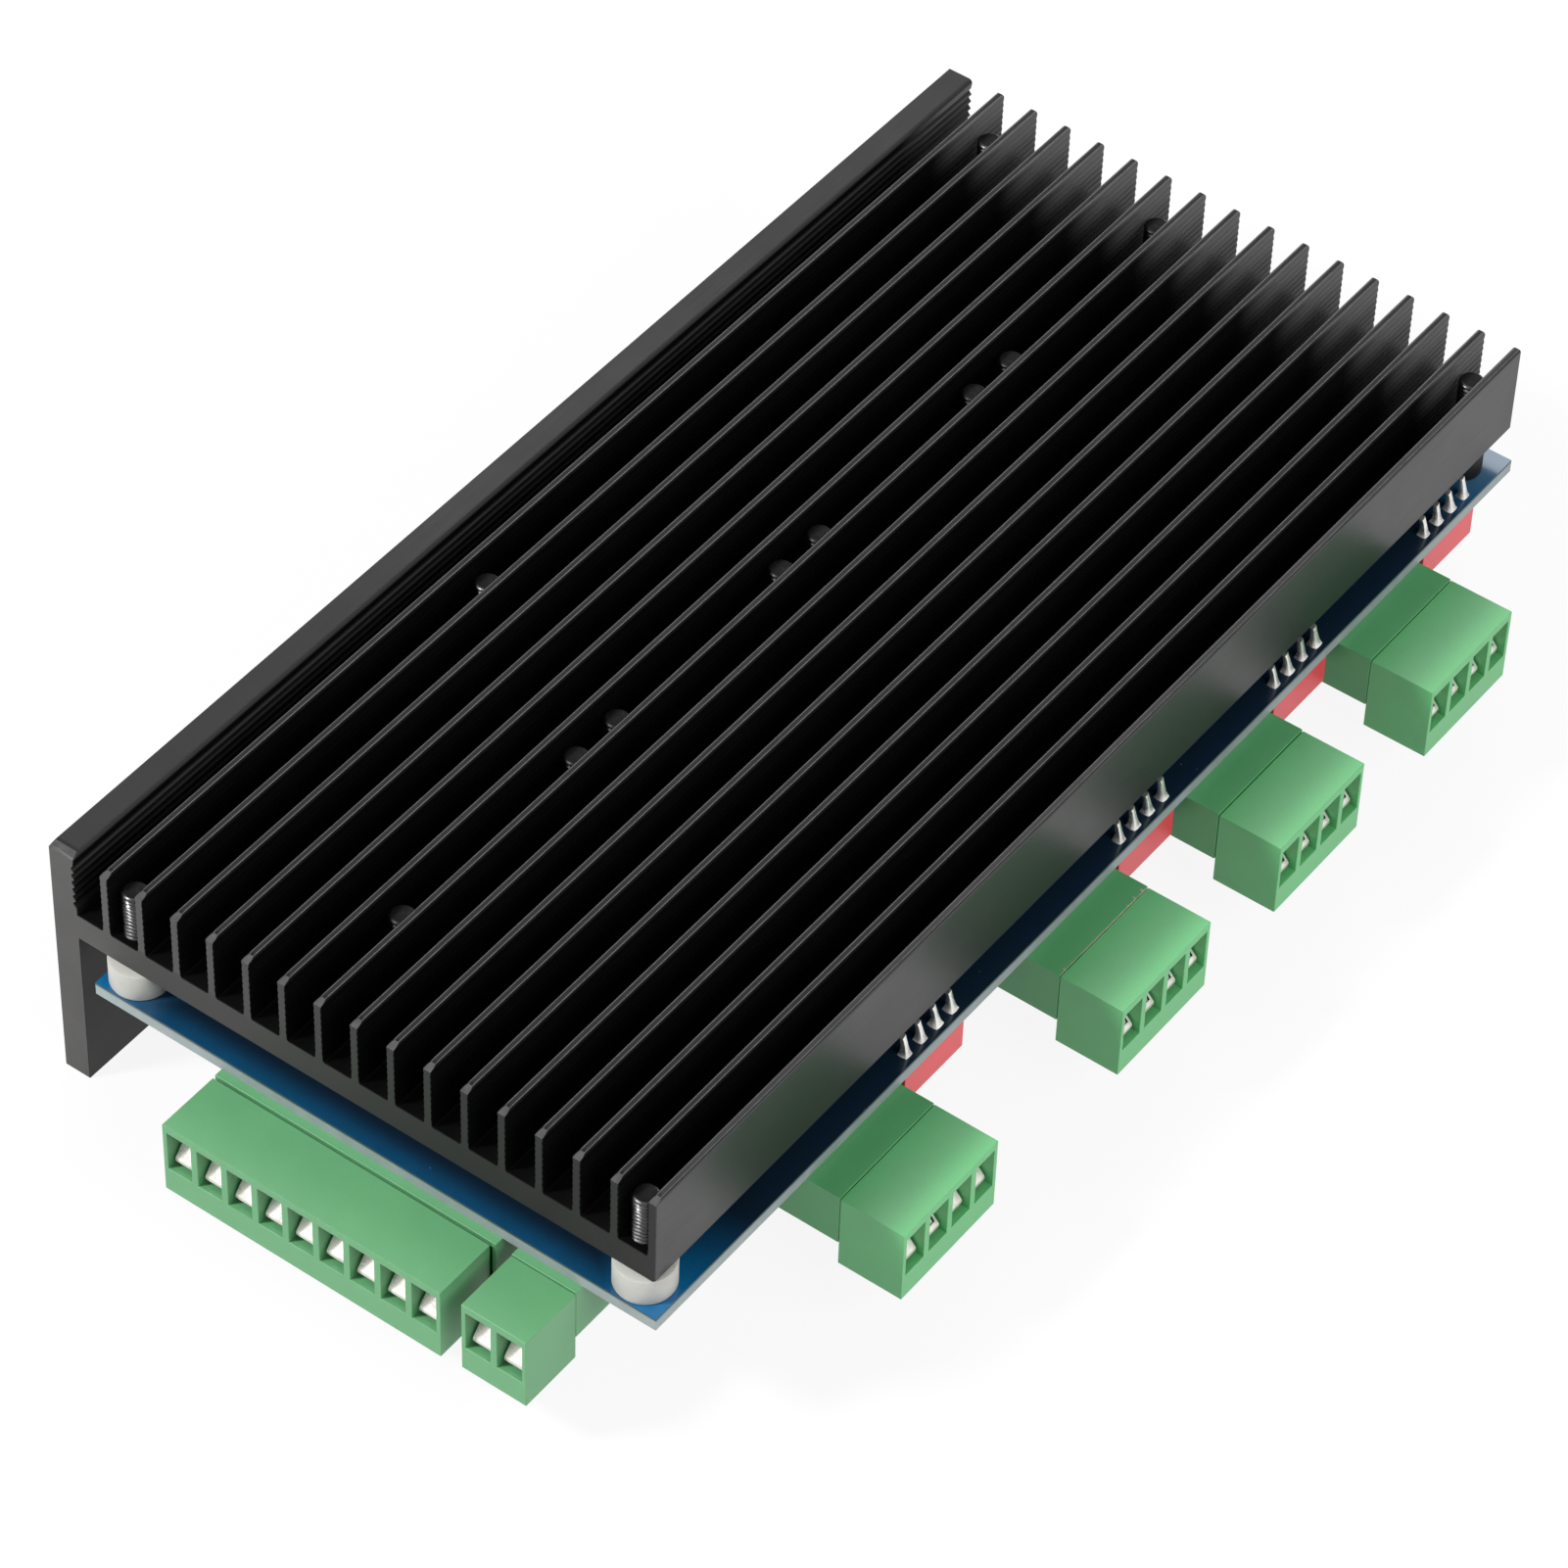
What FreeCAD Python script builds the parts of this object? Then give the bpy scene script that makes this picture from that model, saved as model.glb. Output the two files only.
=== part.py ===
"""Four-axis stepper motor driver: a finned extrusion above a circuit board with plug-in terminals.

Frame, in millimetres: +Z up, origin in the middle of the foot of the extrusion's side wall.
+Y runs along the fins, away from the control terminals; +X points at the motor terminals.
"""
import FreeCAD, Part
import os
import re
import PartDesign
import Sketcher
from FreeCAD import Rotation, Vector

os.makedirs("parts", exist_ok=True)
doc = FreeCAD.newDocument("stepper_motor_driver")
sheet = doc.addObject("Spreadsheet::Sheet", "Sizes")

# Driving dimensions: name, value, meaning.
DRIVING = [
    ("sink_length", 150.0, "length of the extrusion"),
    ("sink_width", 74.55, "width over the side wall and the last fin"),
    ("wall_thickness", 3.2, "side wall"),
    ("leg_height", 20.7, "side wall below the base plate"),
    ("base_thickness", 3.3, "base plate"),
    ("wall_rise", 8.1, "side wall above the base plate"),
    ("wall_tooth_start", 1.0, "first wall tooth above the base plate"),
    ("wall_tooth_pitch", 1.0, "spacing of the wall's teeth"),
    ("wall_tooth_depth", 0.35, "depth of the wall's grooves"),
    ("wall_edge_round", 0.5, "eased inner top edge of the wall"),
    ("fin_pitch", 4.47, "spacing of the fins, the last one flush with the side"),
    ("wall_fin_gap", 2.8, "least space between the side wall and the first fin"),
    ("fin_thickness", 1.0, "fin"),
    ("fin_height", 8.1, "fin above the base plate"),
    ("fin_foot_flare", 0.25, "bevel where a fin meets the base"),
    ("fin_tip_bevel", 0.25, "eased edges of a fin's tip"),
    ("side_bevel", 0.3, "bevel under the last fin"),
    ("end_bevel_length", 1.3, "filed bevel along the near tips of wall and fins"),
    ("end_bevel_depth", 0.3, "filed bevel, down the near end"),
    ("cut_margin", 1.0, "how far cutting tools run past a face"),
    ("small_round_sides", 10, "facets round a small screw or hole"),
    ("screw_radius", 1.45, "machine screw, over its thread"),
    ("screw_hole_radius", 1.55, "hole round a screw"),
    ("screw_standout", 5.9, "screw end above the base plate"),
    ("head_radius", 2.5, "screw head"),
    ("head_height", 1.7, "screw head"),
    ("spacer_length", 3.4, "gap between base plate and board"),
    ("spacer_radius", 3.2, "nylon spacer"),
    ("back_sleeve_radius", 2.3, "slim metal sleeve round a back screw"),
    ("board_wall_gap", 2.9, "between the side wall and the circuit board"),
    ("board_thickness", 1.6, "circuit board"),
    ("board_front_overhang", 1.2, "board past the near end of the fins"),
    ("board_far_inset", 0.7, "board short of the far end of the fins"),
    ("board_side_overhang", 1.05, "board past the last fin"),
    ("hole_to_end", 2.05, "first and last screws from the ends of the extrusion"),
    ("far_hole_to_end", 5.0, "last screws from the far end of the extrusion"),
    ("middle_screw_y", -18.2, "middle board screw"),
    ("chip_gap", 1.94, "between driver chips"),
    ("chip_near_margin", 13.27, "extrusion before the first driver chip"),
    ("chip_far_margin", 2.91, "extrusion after the last driver chip"),
    ("chip_screw_inset", 2.33, "screws of a driver chip from its ends"),
    ("chip_depth", 13.0, "driver chip across the fins"),
    ("chip_thickness", 2.9, "moulded body of a driver chip"),
    ("chip_ear_thickness", 1.5, "screw ears of a driver chip"),
    ("chip_notch_radius", 1.65, "screw slot in an ear"),
    ("chip_lead_count", 25, "leads of a driver chip"),
    ("chip_lead_margin", 4.0, "outer leads of a driver chip from its ends"),
    ("chip_lead_width", 0.45, "lead"),
    ("chip_lead_thickness", 0.3, "lead"),
    ("chip_row_step", 3.0, "farther row of leads from the chip's side"),
    ("chip_recess_clearance", 0.3, "round a screw head on its ear"),
    ("chip_lead_level", 1.5, "leads below the base plate"),
    ("pole_pitch", 3.81, "terminal pole spacing"),
    ("plug_side_wall", 0.1, "plug past its outer poles"),
    ("plug_height", 9.4, "plug"),
    ("plug_depth", 7.6, "plug in front of its header"),
    ("plug_drop", 0.15, "plug top below the board"),
    ("tight_plug_gap", 0.08, "seam between a plug and its header"),
    ("control_plug_gap", 0.3, "seam behind the control plug, which isn't quite home"),
    ("entry_width", 3.0, "wire entry"),
    ("entry_height", 5.2, "wire entry"),
    ("entry_depth", 5.6, "wire entry"),
    ("entry_top", 1.0, "plug wall above a wire entry"),
    ("clamp_screw_radius", 1.15, "wire clamp screw"),
    ("clamp_screw_hole_radius", 1.35, "hole for a wire clamp screw"),
    ("clamp_screw_inset", 0.5, "clamp screw inside its hole"),
    ("cage_clearance", 0.1, "wire clamp inside its entry"),
    ("cage_wall", 0.45, "wire clamp metal"),
    ("cage_height", 3.5, "wire clamp"),
    ("cage_depth", 3.2, "wire clamp along the wire"),
    ("cage_setback", 0.9, "wire clamp behind the plug face"),
    ("tongue_clearance", 0.15, "plug tongue inside its header"),
    ("tongue_length", 7.2, "plug tongue"),
    ("socket_size", 0.9, "pin socket in the tongue"),
    ("header_height", 6.6, "header"),
    ("header_depth", 9.2, "header"),
    ("header_wall", 0.8, "header walls"),
    ("header_back", 1.2, "header back wall"),
    ("header_end_wall", 0.5, "header end walls"),
    ("control_header_overhang", 0.5, "control header past the right end of its plug"),
    ("pin_size", 0.8, "contact pin, square"),
    ("pin_mouth_gap", 1.4, "pin tip behind the header mouth"),
    ("pin_drop_setback", 1.0, "pin leg behind the header"),
    ("pin_standout", 1.6, "pin leg above the board"),
    ("lead_hole_clearance", 0.05, "hole round a lead"),
    ("motor_header_reach", 4.0, "motor headers past the board edge"),
    ("front_header_reach", 1.0, "front headers past the board edge"),
    ("near_corner_room", 6.0, "board edge kept free for the near right screw"),
    ("far_corner_room", 7.0, "board edge kept free for the far right screw"),
    ("motor_1_share", 0.5494, "spare board edge before the first motor plug"),
    ("motor_2_share", 0.8744, "spare board edge before the second motor plug"),
    ("motor_3_share", 0.9347, "spare board edge before the third motor plug"),
    ("motor_4_share", 0.9997, "spare board edge before the fourth motor plug"),
    ("motor_poles", 4, "poles of a motor plug"),
    ("terminal_screw_gap", 0.3, "between a front terminal and a screw head"),
    ("control_share", 0.7174, "spare width left of the control plug"),
    ("control_poles", 9, "poles of the control plug"),
    ("power_share", 0.1313, "spare width between control and power plugs"),
    ("power_poles", 2, "poles of the power plug"),
    ("dip_length", 9.9, "switch along the board edge"),
    ("dip_width", 9.9, "switch across the board edge"),
    ("dip_height", 3.9, "switch"),
    ("dip_1_gap", 0.85, "first switch after its motor header"),
    ("dip_2_gap", 0.85, "second switch after its motor header"),
    ("dip_3_gap", 0.85, "third switch after its motor header"),
    ("dip_4_gap", 1.1, "fourth switch after its motor header"),
    ("dip_first_lead", 1.38, "first switch position from the near end"),
    ("dip_edge_inset", 0.1, "switch inside the board edge"),
    ("dip_pitch", 2.54, "switch positions"),
    ("dip_row_spacing", 7.62, "rows of switch leads"),
    ("dip_lead_width", 0.6, "switch lead"),
    ("dip_lead_thickness", 0.3, "switch lead"),
    ("dip_lead_standout", 3.0, "switch lead above the board"),
    ("dip_slot_length", 3.6, "switch slider slot"),
    ("dip_slot_width", 1.3, "switch slider slot"),
    ("dip_slot_depth", 1.4, "switch slider slot"),
    ("slider_length", 1.6, "slider along its travel"),
    ("slider_clearance", 0.1, "slider inside its slot"),
    ("data_flange_width", 53.0, "data socket flange"),
    ("data_flange_height", 12.4, "data socket flange"),
    ("data_flange_thickness", 1.0, "data socket flange"),
    ("data_body_width", 40.0, "data socket housing"),
    ("data_body_height", 10.6, "data socket housing"),
    ("data_body_depth", 10.0, "data socket housing"),
    ("data_shell_width", 38.4, "data socket shell"),
    ("data_shell_height", 7.9, "data socket shell"),
    ("data_shell_reach", 5.6, "data socket shell past its flange"),
    ("data_shell_wall", 0.5, "data socket shell"),
    ("data_taper", 0.8, "slant of the shell's short sides"),
    ("data_contact_pitch", 2.76, "data contacts in a row"),
    ("data_contact_size", 1.2, "data contact holes"),
    ("data_row_offset", 1.42, "data rows from the middle"),
    ("data_nut_spacing", 47.0, "jack nuts"),
    ("data_nut_radius", 2.6, "jack nut"),
    ("data_nut_length", 4.6, "jack nut"),
    ("data_edge_gap", 0.2, "flange past the board's far edge"),
    ("data_switch_gap", 1.0, "least space between the data socket and the last switch"),
    ("capacitor_radius", 4.0, "electrolytic capacitor"),
    ("capacitor_height", 11.5, "electrolytic capacitor"),
    ("capacitor_share", 0.6835, "row of capacitors across the board"),
    ("optocoupler_length", 9.4, "optocoupler"),
    ("optocoupler_width", 6.4, "optocoupler"),
    ("optocoupler_height", 3.4, "optocoupler"),
    ("optocoupler_share", 0.1568, "row of optocouplers across the board"),
    ("optocoupler_gap", 1.8, "between the two optocouplers of a pair"),
    ("logic_length", 19.4, "logic chip"),
    ("logic_width", 6.4, "logic chip"),
    ("logic_height", 3.6, "logic chip"),
    ("logic_share", 0.4101, "row of logic chips across the board"),
    ("logic_shift", 5.0, "logic chips nearer than their driver chips"),
    ("regulator_width", 10.2, "voltage regulator"),
    ("regulator_tab_length", 15.4, "regulator tab"),
    ("regulator_body_length", 9.0, "regulator body"),
    ("regulator_tab_thickness", 1.3, "regulator tab"),
    ("regulator_thickness", 4.5, "regulator body"),
    ("regulator_hole_radius", 1.8, "hole in the regulator's tab"),
    ("regulator_hole_inset", 2.8, "hole from the end of the regulator's tab"),
    ("regulator_share", 0.44, "regulator across the board"),
    ("regulator_setback", 18.2, "regulator from the near edge of the board"),
    ("resistor_length", 6.4, "current sense resistor"),
    ("resistor_width", 3.2, "current sense resistor"),
    ("resistor_height", 0.6, "current sense resistor"),
    ("resistor_share", 0.5712, "pairs of current sense resistors across the board"),
    ("resistor_gap", 3.0, "between the two resistors of a pair"),
    ("resistor_setback", 4.0, "pair of resistors nearer than its driver chip's middle"),
]

# Positions worked out from the driving dimensions: name, formula.
DERIVED = [
    ("wall_outer", "-wall_thickness / 2"),
    ("wall_inner", "wall_thickness / 2"),
    ("sink_right", "wall_outer + sink_width"),
    ("sink_near", "-sink_length / 2"),
    ("sink_far", "sink_length / 2"),
    ("base_bottom", "leg_height"),
    ("base_top", "base_bottom + base_thickness"),
    ("wall_top", "base_top + wall_rise"),
    ("fin_top", "base_top + fin_height"),
    ("fin_count", "floor((sink_width - wall_thickness - fin_thickness - wall_fin_gap) / fin_pitch) + 1"),
    ("first_fin_x", "sink_right - fin_thickness / 2 - (fin_count - 1) * fin_pitch"),
    ("left_channel_x", "first_fin_x + fin_pitch / 2"),
    ("right_channel_x", "sink_right - fin_thickness / 2 - fin_pitch / 2"),
    ("chip_channel_x", "first_fin_x + 5.5 * fin_pitch"),
    ("chip_length", "(sink_length - chip_near_margin - chip_far_margin - 3 * chip_gap) / 4"),
    ("chip_spacing", "chip_length + chip_gap"),
    ("chip_first_y", "sink_near + chip_near_margin + chip_length / 2"),
    ("chip_hole_pitch", "chip_length - 2 * chip_screw_inset"),
    ("chip_lead_pitch", "(chip_length - 2 * chip_lead_margin) / (chip_lead_count - 1)"),
    ("board_top", "base_bottom - spacer_length"),
    ("board_bottom", "board_top - board_thickness"),
    ("board_right", "sink_right + board_side_overhang"),
    ("board_left", "wall_inner + board_wall_gap"),
    ("board_width", "board_right - board_left"),
    ("board_near", "sink_near - board_front_overhang"),
    ("board_far", "sink_far - board_far_inset"),
    ("board_length", "board_far - board_near"),
    ("near_screw_y", "sink_near + hole_to_end"),
    ("far_screw_y", "sink_far - far_hole_to_end"),
    ("screw_end", "base_top + screw_standout"),
    ("plug_top", "board_bottom - plug_drop"),
    ("plug_bottom", "plug_top - plug_height"),
    ("entry_bottom", "plug_top - entry_top - entry_height"),
    ("cage_bottom", "plug_top - entry_top - cage_clearance - cage_height"),
    ("header_bottom", "board_bottom - header_height"),
    ("cavity_bottom", "header_bottom + header_wall"),
    ("cavity_height", "header_height - 2 * header_wall"),
    ("contact_level", "cavity_bottom + cavity_height / 2"),
    ("motor_face_x", "board_right + motor_header_reach"),
    ("front_face_y", "board_near - front_header_reach"),
    ("motor_plug_length", "motor_poles * pole_pitch + 2 * plug_side_wall"),
    ("control_plug_length", "control_poles * pole_pitch + 2 * plug_side_wall"),
    ("power_plug_length", "power_poles * pole_pitch + 2 * plug_side_wall"),
    ("motor_1_block", "motor_plug_length + dip_1_gap + dip_length"),
    ("motor_2_block", "motor_plug_length + dip_2_gap + dip_length"),
    ("motor_3_block", "motor_plug_length + dip_3_gap + dip_length"),
    ("motor_4_block", "motor_plug_length + dip_4_gap + dip_length"),
    ("motor_blocks", "motor_1_block + motor_2_block + motor_3_block + motor_4_block"),
    ("spare_edge", "board_length - near_corner_room - far_corner_room - motor_blocks"),
    ("motor_start", "board_near + near_corner_room"),
    ("motor_1_y", "motor_start + motor_1_share * spare_edge"),
    ("motor_2_y", "motor_start + motor_1_block + motor_2_share * spare_edge"),
    ("motor_3_y", "motor_start + motor_1_block + motor_2_block + motor_3_share * spare_edge"),
    ("motor_4_y", "board_far - far_corner_room - motor_4_block - (1 - motor_4_share) * spare_edge"),
    ("terminal_start", "left_channel_x + head_radius + terminal_screw_gap"),
    ("terminal_end", "right_channel_x - head_radius - terminal_screw_gap"),
    ("front_blocks", "control_plug_length + control_header_overhang + power_plug_length"),
    ("spare_front", "terminal_end - terminal_start - front_blocks"),
    ("control_x", "terminal_start + control_share * spare_front"),
    ("control_block_end", "control_x + control_plug_length + control_header_overhang"),
    ("power_x", "control_block_end + power_share * spare_front"),
    ("dip_right", "board_right - dip_edge_inset"),
    ("dip_left", "dip_right - dip_width"),
    ("dip_bottom", "board_bottom - dip_height"),
    ("dip_lead_x", "(dip_left + dip_right + dip_row_spacing) / 2"),
    ("dip_slot_x", "(dip_left + dip_right - dip_slot_length) / 2"),
    ("slider_width", "dip_slot_width - 2 * slider_clearance"),
    ("slider_height", "dip_slot_depth - slider_clearance"),
    ("capacitor_x", "board_left + capacitor_share * board_width"),
    ("optocoupler_x", "board_left + optocoupler_share * board_width"),
    ("logic_x", "board_left + logic_share * board_width"),
    ("regulator_x", "board_left + regulator_share * board_width"),
    ("regulator_y", "board_near + regulator_setback"),
    ("resistor_x", "board_left + resistor_share * board_width"),
    ("data_x_limit", "dip_left - data_switch_gap - data_body_width / 2"),
    ("data_x", "min((board_left + board_right) / 2; data_x_limit)"),
    ("data_flange_y", "board_far + data_edge_gap"),
    ("data_z", "board_bottom - data_flange_height / 2"),
]


def fill_sheet():
    """Write each driving dimension as a number and each derived one as a formula, with its name."""
    rows = [(name, str(value), meaning) for name, value, meaning in DRIVING]
    rows += [(name, "=" + formula, "worked out") for name, formula in DERIVED]
    for row, (name, content, meaning) in enumerate(rows, 1):
        sheet.set("A%d" % row, meaning)
        sheet.set("B%d" % row, content)
        sheet.setAlias("B%d" % row, name)
    doc.recompute()


fill_sheet()
SHEET_NAME = {row[0]: "Sizes." + row[0] for row in DRIVING + DERIVED}
nodes = {}


def bound(formula):
    """Point each size's name in a formula at its cell."""
    return re.sub(r"[a-z_]\w*", lambda word: SHEET_NAME.get(word.group(0), word.group(0)), str(formula))


def value(formula):
    return float(sheet.evalExpression(bound(formula)))


def node(label, shape):
    """Name a finished piece; its name becomes its file's name."""
    shape.Label = label
    nodes[label] = shape
    return shape


def place(piece, x, y, z, rotation=None):
    if rotation is not None:
        piece.Placement = FreeCAD.Placement(Vector(), rotation)
    for axis, formula in zip("xyz", (x, y, z)):
        piece.setExpression("Placement.Base." + axis, bound(formula))
    return piece


def box(name, x, y, z, length, width, height):
    """A block from its low corner and its sizes along X, Y and Z."""
    piece = doc.addObject("Part::Box", name)
    for size, formula in zip(("Length", "Width", "Height"), (length, width, height)):
        piece.setExpression(size, bound(formula))
    return place(piece, x, y, z)


UPRIGHT = Rotation()
ALONG_X = Rotation(Vector(0, 1, 0), 90)
ALONG_Y = Rotation(Vector(1, 0, 0), -90)


def cylinder(name, x, y, z, radius, height, rotation=UPRIGHT):
    """A round bar from the middle of its first face."""
    piece = doc.addObject("Part::Cylinder", name)
    piece.setExpression("Radius", bound(radius))
    piece.setExpression("Height", bound(height))
    return place(piece, x, y, z, rotation)


def peg(name, x, y, z, radius, height, sides="small_round_sides", rotation=UPRIGHT):
    """A bar with flat sides: a nut, or a small round that repeats many times."""
    piece = doc.addObject("Part::Prism", name)
    piece.setExpression("Polygon", bound(sides))
    piece.setExpression("Circumradius", bound(radius))
    piece.setExpression("Height", bound(height))
    return place(piece, x, y, z, rotation)


def group(name, pieces):
    """Separate solids kept together as one piece of the list."""
    compound = doc.addObject("Part::Compound", name)
    compound.Links = pieces
    return compound


def fuse(name, pieces):
    joined = doc.addObject("Part::MultiFuse", name)
    joined.Shapes = pieces
    joined.Refine = True
    return joined


def cut(name, base, tools):
    result = doc.addObject("Part::Cut", name)
    result.Base = base
    result.Tool = tools[0] if len(tools) == 1 else group(name + "_tools", tools)
    return result


def outline(sketch, corners):
    """A closed outline of straight lines whose corners are pairs of formulas."""
    points = [Vector(value(u), value(v), 0) for u, v in corners]
    count = len(points)
    for i, point in enumerate(points):
        sketch.addGeometry(Part.LineSegment(point, points[(i + 1) % count]))
    rules = [Sketcher.Constraint("Coincident", i, 2, (i + 1) % count, 1) for i in range(count)]
    for i, point in enumerate(points):
        rules.append(Sketcher.Constraint("DistanceX", i, 1, point.x))
        rules.append(Sketcher.Constraint("DistanceY", i, 1, point.y))
    sketch.addConstraint(rules)
    for i, (u, v) in enumerate(corners):
        sketch.setExpression("Constraints[%d]" % (count + 2 * i), bound(u))
        sketch.setExpression("Constraints[%d]" % (count + 2 * i + 1), bound(v))


ACROSS = Rotation(Vector(1, 0, 0), 90)
LENGTHWISE = Rotation(Vector(1, 1, 1), 120)


def prism(name, corners, rotation, direction, start, depth):
    """An outline carried straight along a direction, from a start to a depth."""
    sketch = doc.addObject("Sketcher::SketchObject", name + "_outline")
    sketch.Placement = FreeCAD.Placement(Vector(), rotation)
    outline(sketch, corners)
    bar = doc.addObject("Part::Extrusion", name)
    bar.Base = sketch
    bar.DirMode = "Custom"
    bar.Dir = Vector(*direction)
    bar.Solid = True
    bar.setExpression("LengthFwd", bound(depth))
    steps = ["(%s) * %d" % (start, component) for component in direction]
    return place(bar, *steps)


def origin_feature(body, role):
    return [feature for feature in body.Origin.OriginFeatures if feature.Role == role][0]


WALL_TEETH = 6


def wall_teeth():
    """Flat-topped teeth on the wall's inner face, from the base plate upwards."""
    corners = []
    for tooth in range(WALL_TEETH):
        level = "base_top + wall_tooth_start + %d * wall_tooth_pitch" % tooth
        groove = "wall_inner - wall_tooth_depth"
        corners.append(("wall_inner", level))
        corners.append((groove, level + " + 0.25 * wall_tooth_pitch"))
        corners.append((groove, level + " + 0.45 * wall_tooth_pitch"))
        corners.append(("wall_inner", level + " + 0.7 * wall_tooth_pitch"))
    return corners


def section_corners():
    """Side wall, base plate and the flush last fin, in X and Z."""
    inner_face = "sink_right - fin_thickness"
    corners = [
        ("wall_outer", "0"),
        ("wall_inner", "0"),
        ("wall_inner", "base_bottom"),
        ("sink_right - side_bevel", "base_bottom"),
        ("sink_right", "base_bottom + side_bevel"),
        ("sink_right", "fin_top - fin_tip_bevel"),
        ("sink_right - fin_tip_bevel", "fin_top"),
        (inner_face + " + fin_tip_bevel", "fin_top"),
        (inner_face, "fin_top - fin_tip_bevel"),
    ]
    corners += [
        (inner_face, "base_top + fin_foot_flare"),
        (inner_face + " - fin_foot_flare", "base_top"),
        ("wall_inner", "base_top"),
    ]
    corners += wall_teeth()
    corners += [
        ("wall_inner", "wall_top - wall_edge_round"),
        ("wall_inner - wall_edge_round", "wall_top"),
        ("wall_outer", "wall_top"),
    ]
    return corners


def fin_corners():
    """One fin standing on the base plate, in X and Z."""
    left = "first_fin_x - fin_thickness / 2"
    right = "first_fin_x + fin_thickness / 2"
    return [
        (left + " - fin_foot_flare", "base_top"),
        (right + " + fin_foot_flare", "base_top"),
        (right, "base_top + fin_foot_flare"),
        (right, "fin_top - fin_tip_bevel"),
        (right + " - fin_tip_bevel", "fin_top"),
        (left + " + fin_tip_bevel", "fin_top"),
        (left, "fin_top - fin_tip_bevel"),
        (left, "base_top + fin_foot_flare"),
    ]


def body_pad(body, name, corners):
    """Pad an outline in the XZ plane to both sides, over the whole length."""
    sketch = body.newObject("Sketcher::SketchObject", name + "_outline")
    sketch.AttachmentSupport = [(origin_feature(body, "XZ_Plane"), "")]
    sketch.MapMode = "FlatFace"
    outline(sketch, corners)
    pad = body.newObject("PartDesign::Pad", name)
    pad.Profile = sketch
    pad.SideType = "Symmetric"
    pad.setExpression("Length", bound("sink_length"))
    return pad


def end_bevel():
    """The flat wedge that a file takes off the tips of wall and fins at the near end."""
    slope = "end_bevel_length / end_bevel_depth"
    corners = [
        ("sink_near - cut_margin", "fin_top - end_bevel_depth - cut_margin / (%s)" % slope),
        ("sink_near + end_bevel_length + cut_margin * %s" % slope, "fin_top + cut_margin"),
        ("sink_near - cut_margin", "fin_top + cut_margin"),
    ]
    return prism("near_bevel", corners, LENGTHWISE, (1, 0, 0), "wall_outer - cut_margin",
                 "sink_width + 2 * cut_margin")


BOARD_SCREWS = [
    ("front_left", "left_channel_x", "near_screw_y"),
    ("front_right", "right_channel_x", "near_screw_y"),
    ("middle_left", "left_channel_x", "middle_screw_y"),
    ("back_left", "left_channel_x", "far_screw_y"),
    ("back_right", "right_channel_x", "far_screw_y"),
]
CHIPS = [(number, "chip_first_y + %d * chip_spacing" % (number - 1)) for number in range(1, 5)]
CHIP_SCREWS = [
    ("chip_%d_%s" % (number, side), "chip_channel_x", "%s %s chip_hole_pitch / 2" % (middle, sign))
    for number, middle in CHIPS
    for side, sign in (("near", "-"), ("far", "+"))
]


def make_heatsink():
    body = doc.addObject("PartDesign::Body", "extrusion")
    body_pad(body, "section", section_corners())
    fin = body_pad(body, "fin", fin_corners())
    fins = body.newObject("PartDesign::LinearPattern", "fins")
    fins.Originals = [fin]
    fins.Direction = (origin_feature(body, "X_Axis"), [""])
    fins.setExpression("Length", bound("(fin_count - 2) * fin_pitch"))
    fins.setExpression("Occurrences", bound("fin_count - 1"))
    body.Tip = fins
    holes = [
        peg("tapped_" + name, x, y, "base_bottom - cut_margin", "screw_hole_radius",
            "base_thickness + 2 * cut_margin")
        for name, x, y in BOARD_SCREWS + CHIP_SCREWS
    ]
    node("heatsink", cut("heatsink_cut", body, holes + [end_bevel()]))


def machine_screw(name, x, y, seat):
    """A screw whose head sits below its seat and whose thread stands out above the base plate."""
    shank = peg(name + "_shank", x, y, seat, "screw_radius", "screw_end - (%s)" % seat)
    head = peg(name + "_head", x, y, "%s - head_height" % seat, "head_radius", "head_height")
    return fuse(name, [shank, head])


def make_fasteners():
    for label, places, seat in (
        ("board_screws", BOARD_SCREWS, "board_bottom"),
        ("chip_screws", CHIP_SCREWS, "base_bottom - chip_ear_thickness"),
    ):
        screws = [machine_screw("screw_" + name, x, y, seat) for name, x, y in places]
        node(label, group(label + "_set", screws))
    tubes = []
    for name, x, y in BOARD_SCREWS:
        radius = "back_sleeve_radius" if name.startswith("back") else "spacer_radius"
        tube = cylinder("tube_" + name, x, y, "board_top", radius, "spacer_length")
        bore = peg("bore_" + name, x, y, "board_top", "screw_hole_radius", "spacer_length")
        tubes.append(cut("spacer_" + name, tube, [bore]))
    node("spacers", group("spacer_set", tubes))


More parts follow.
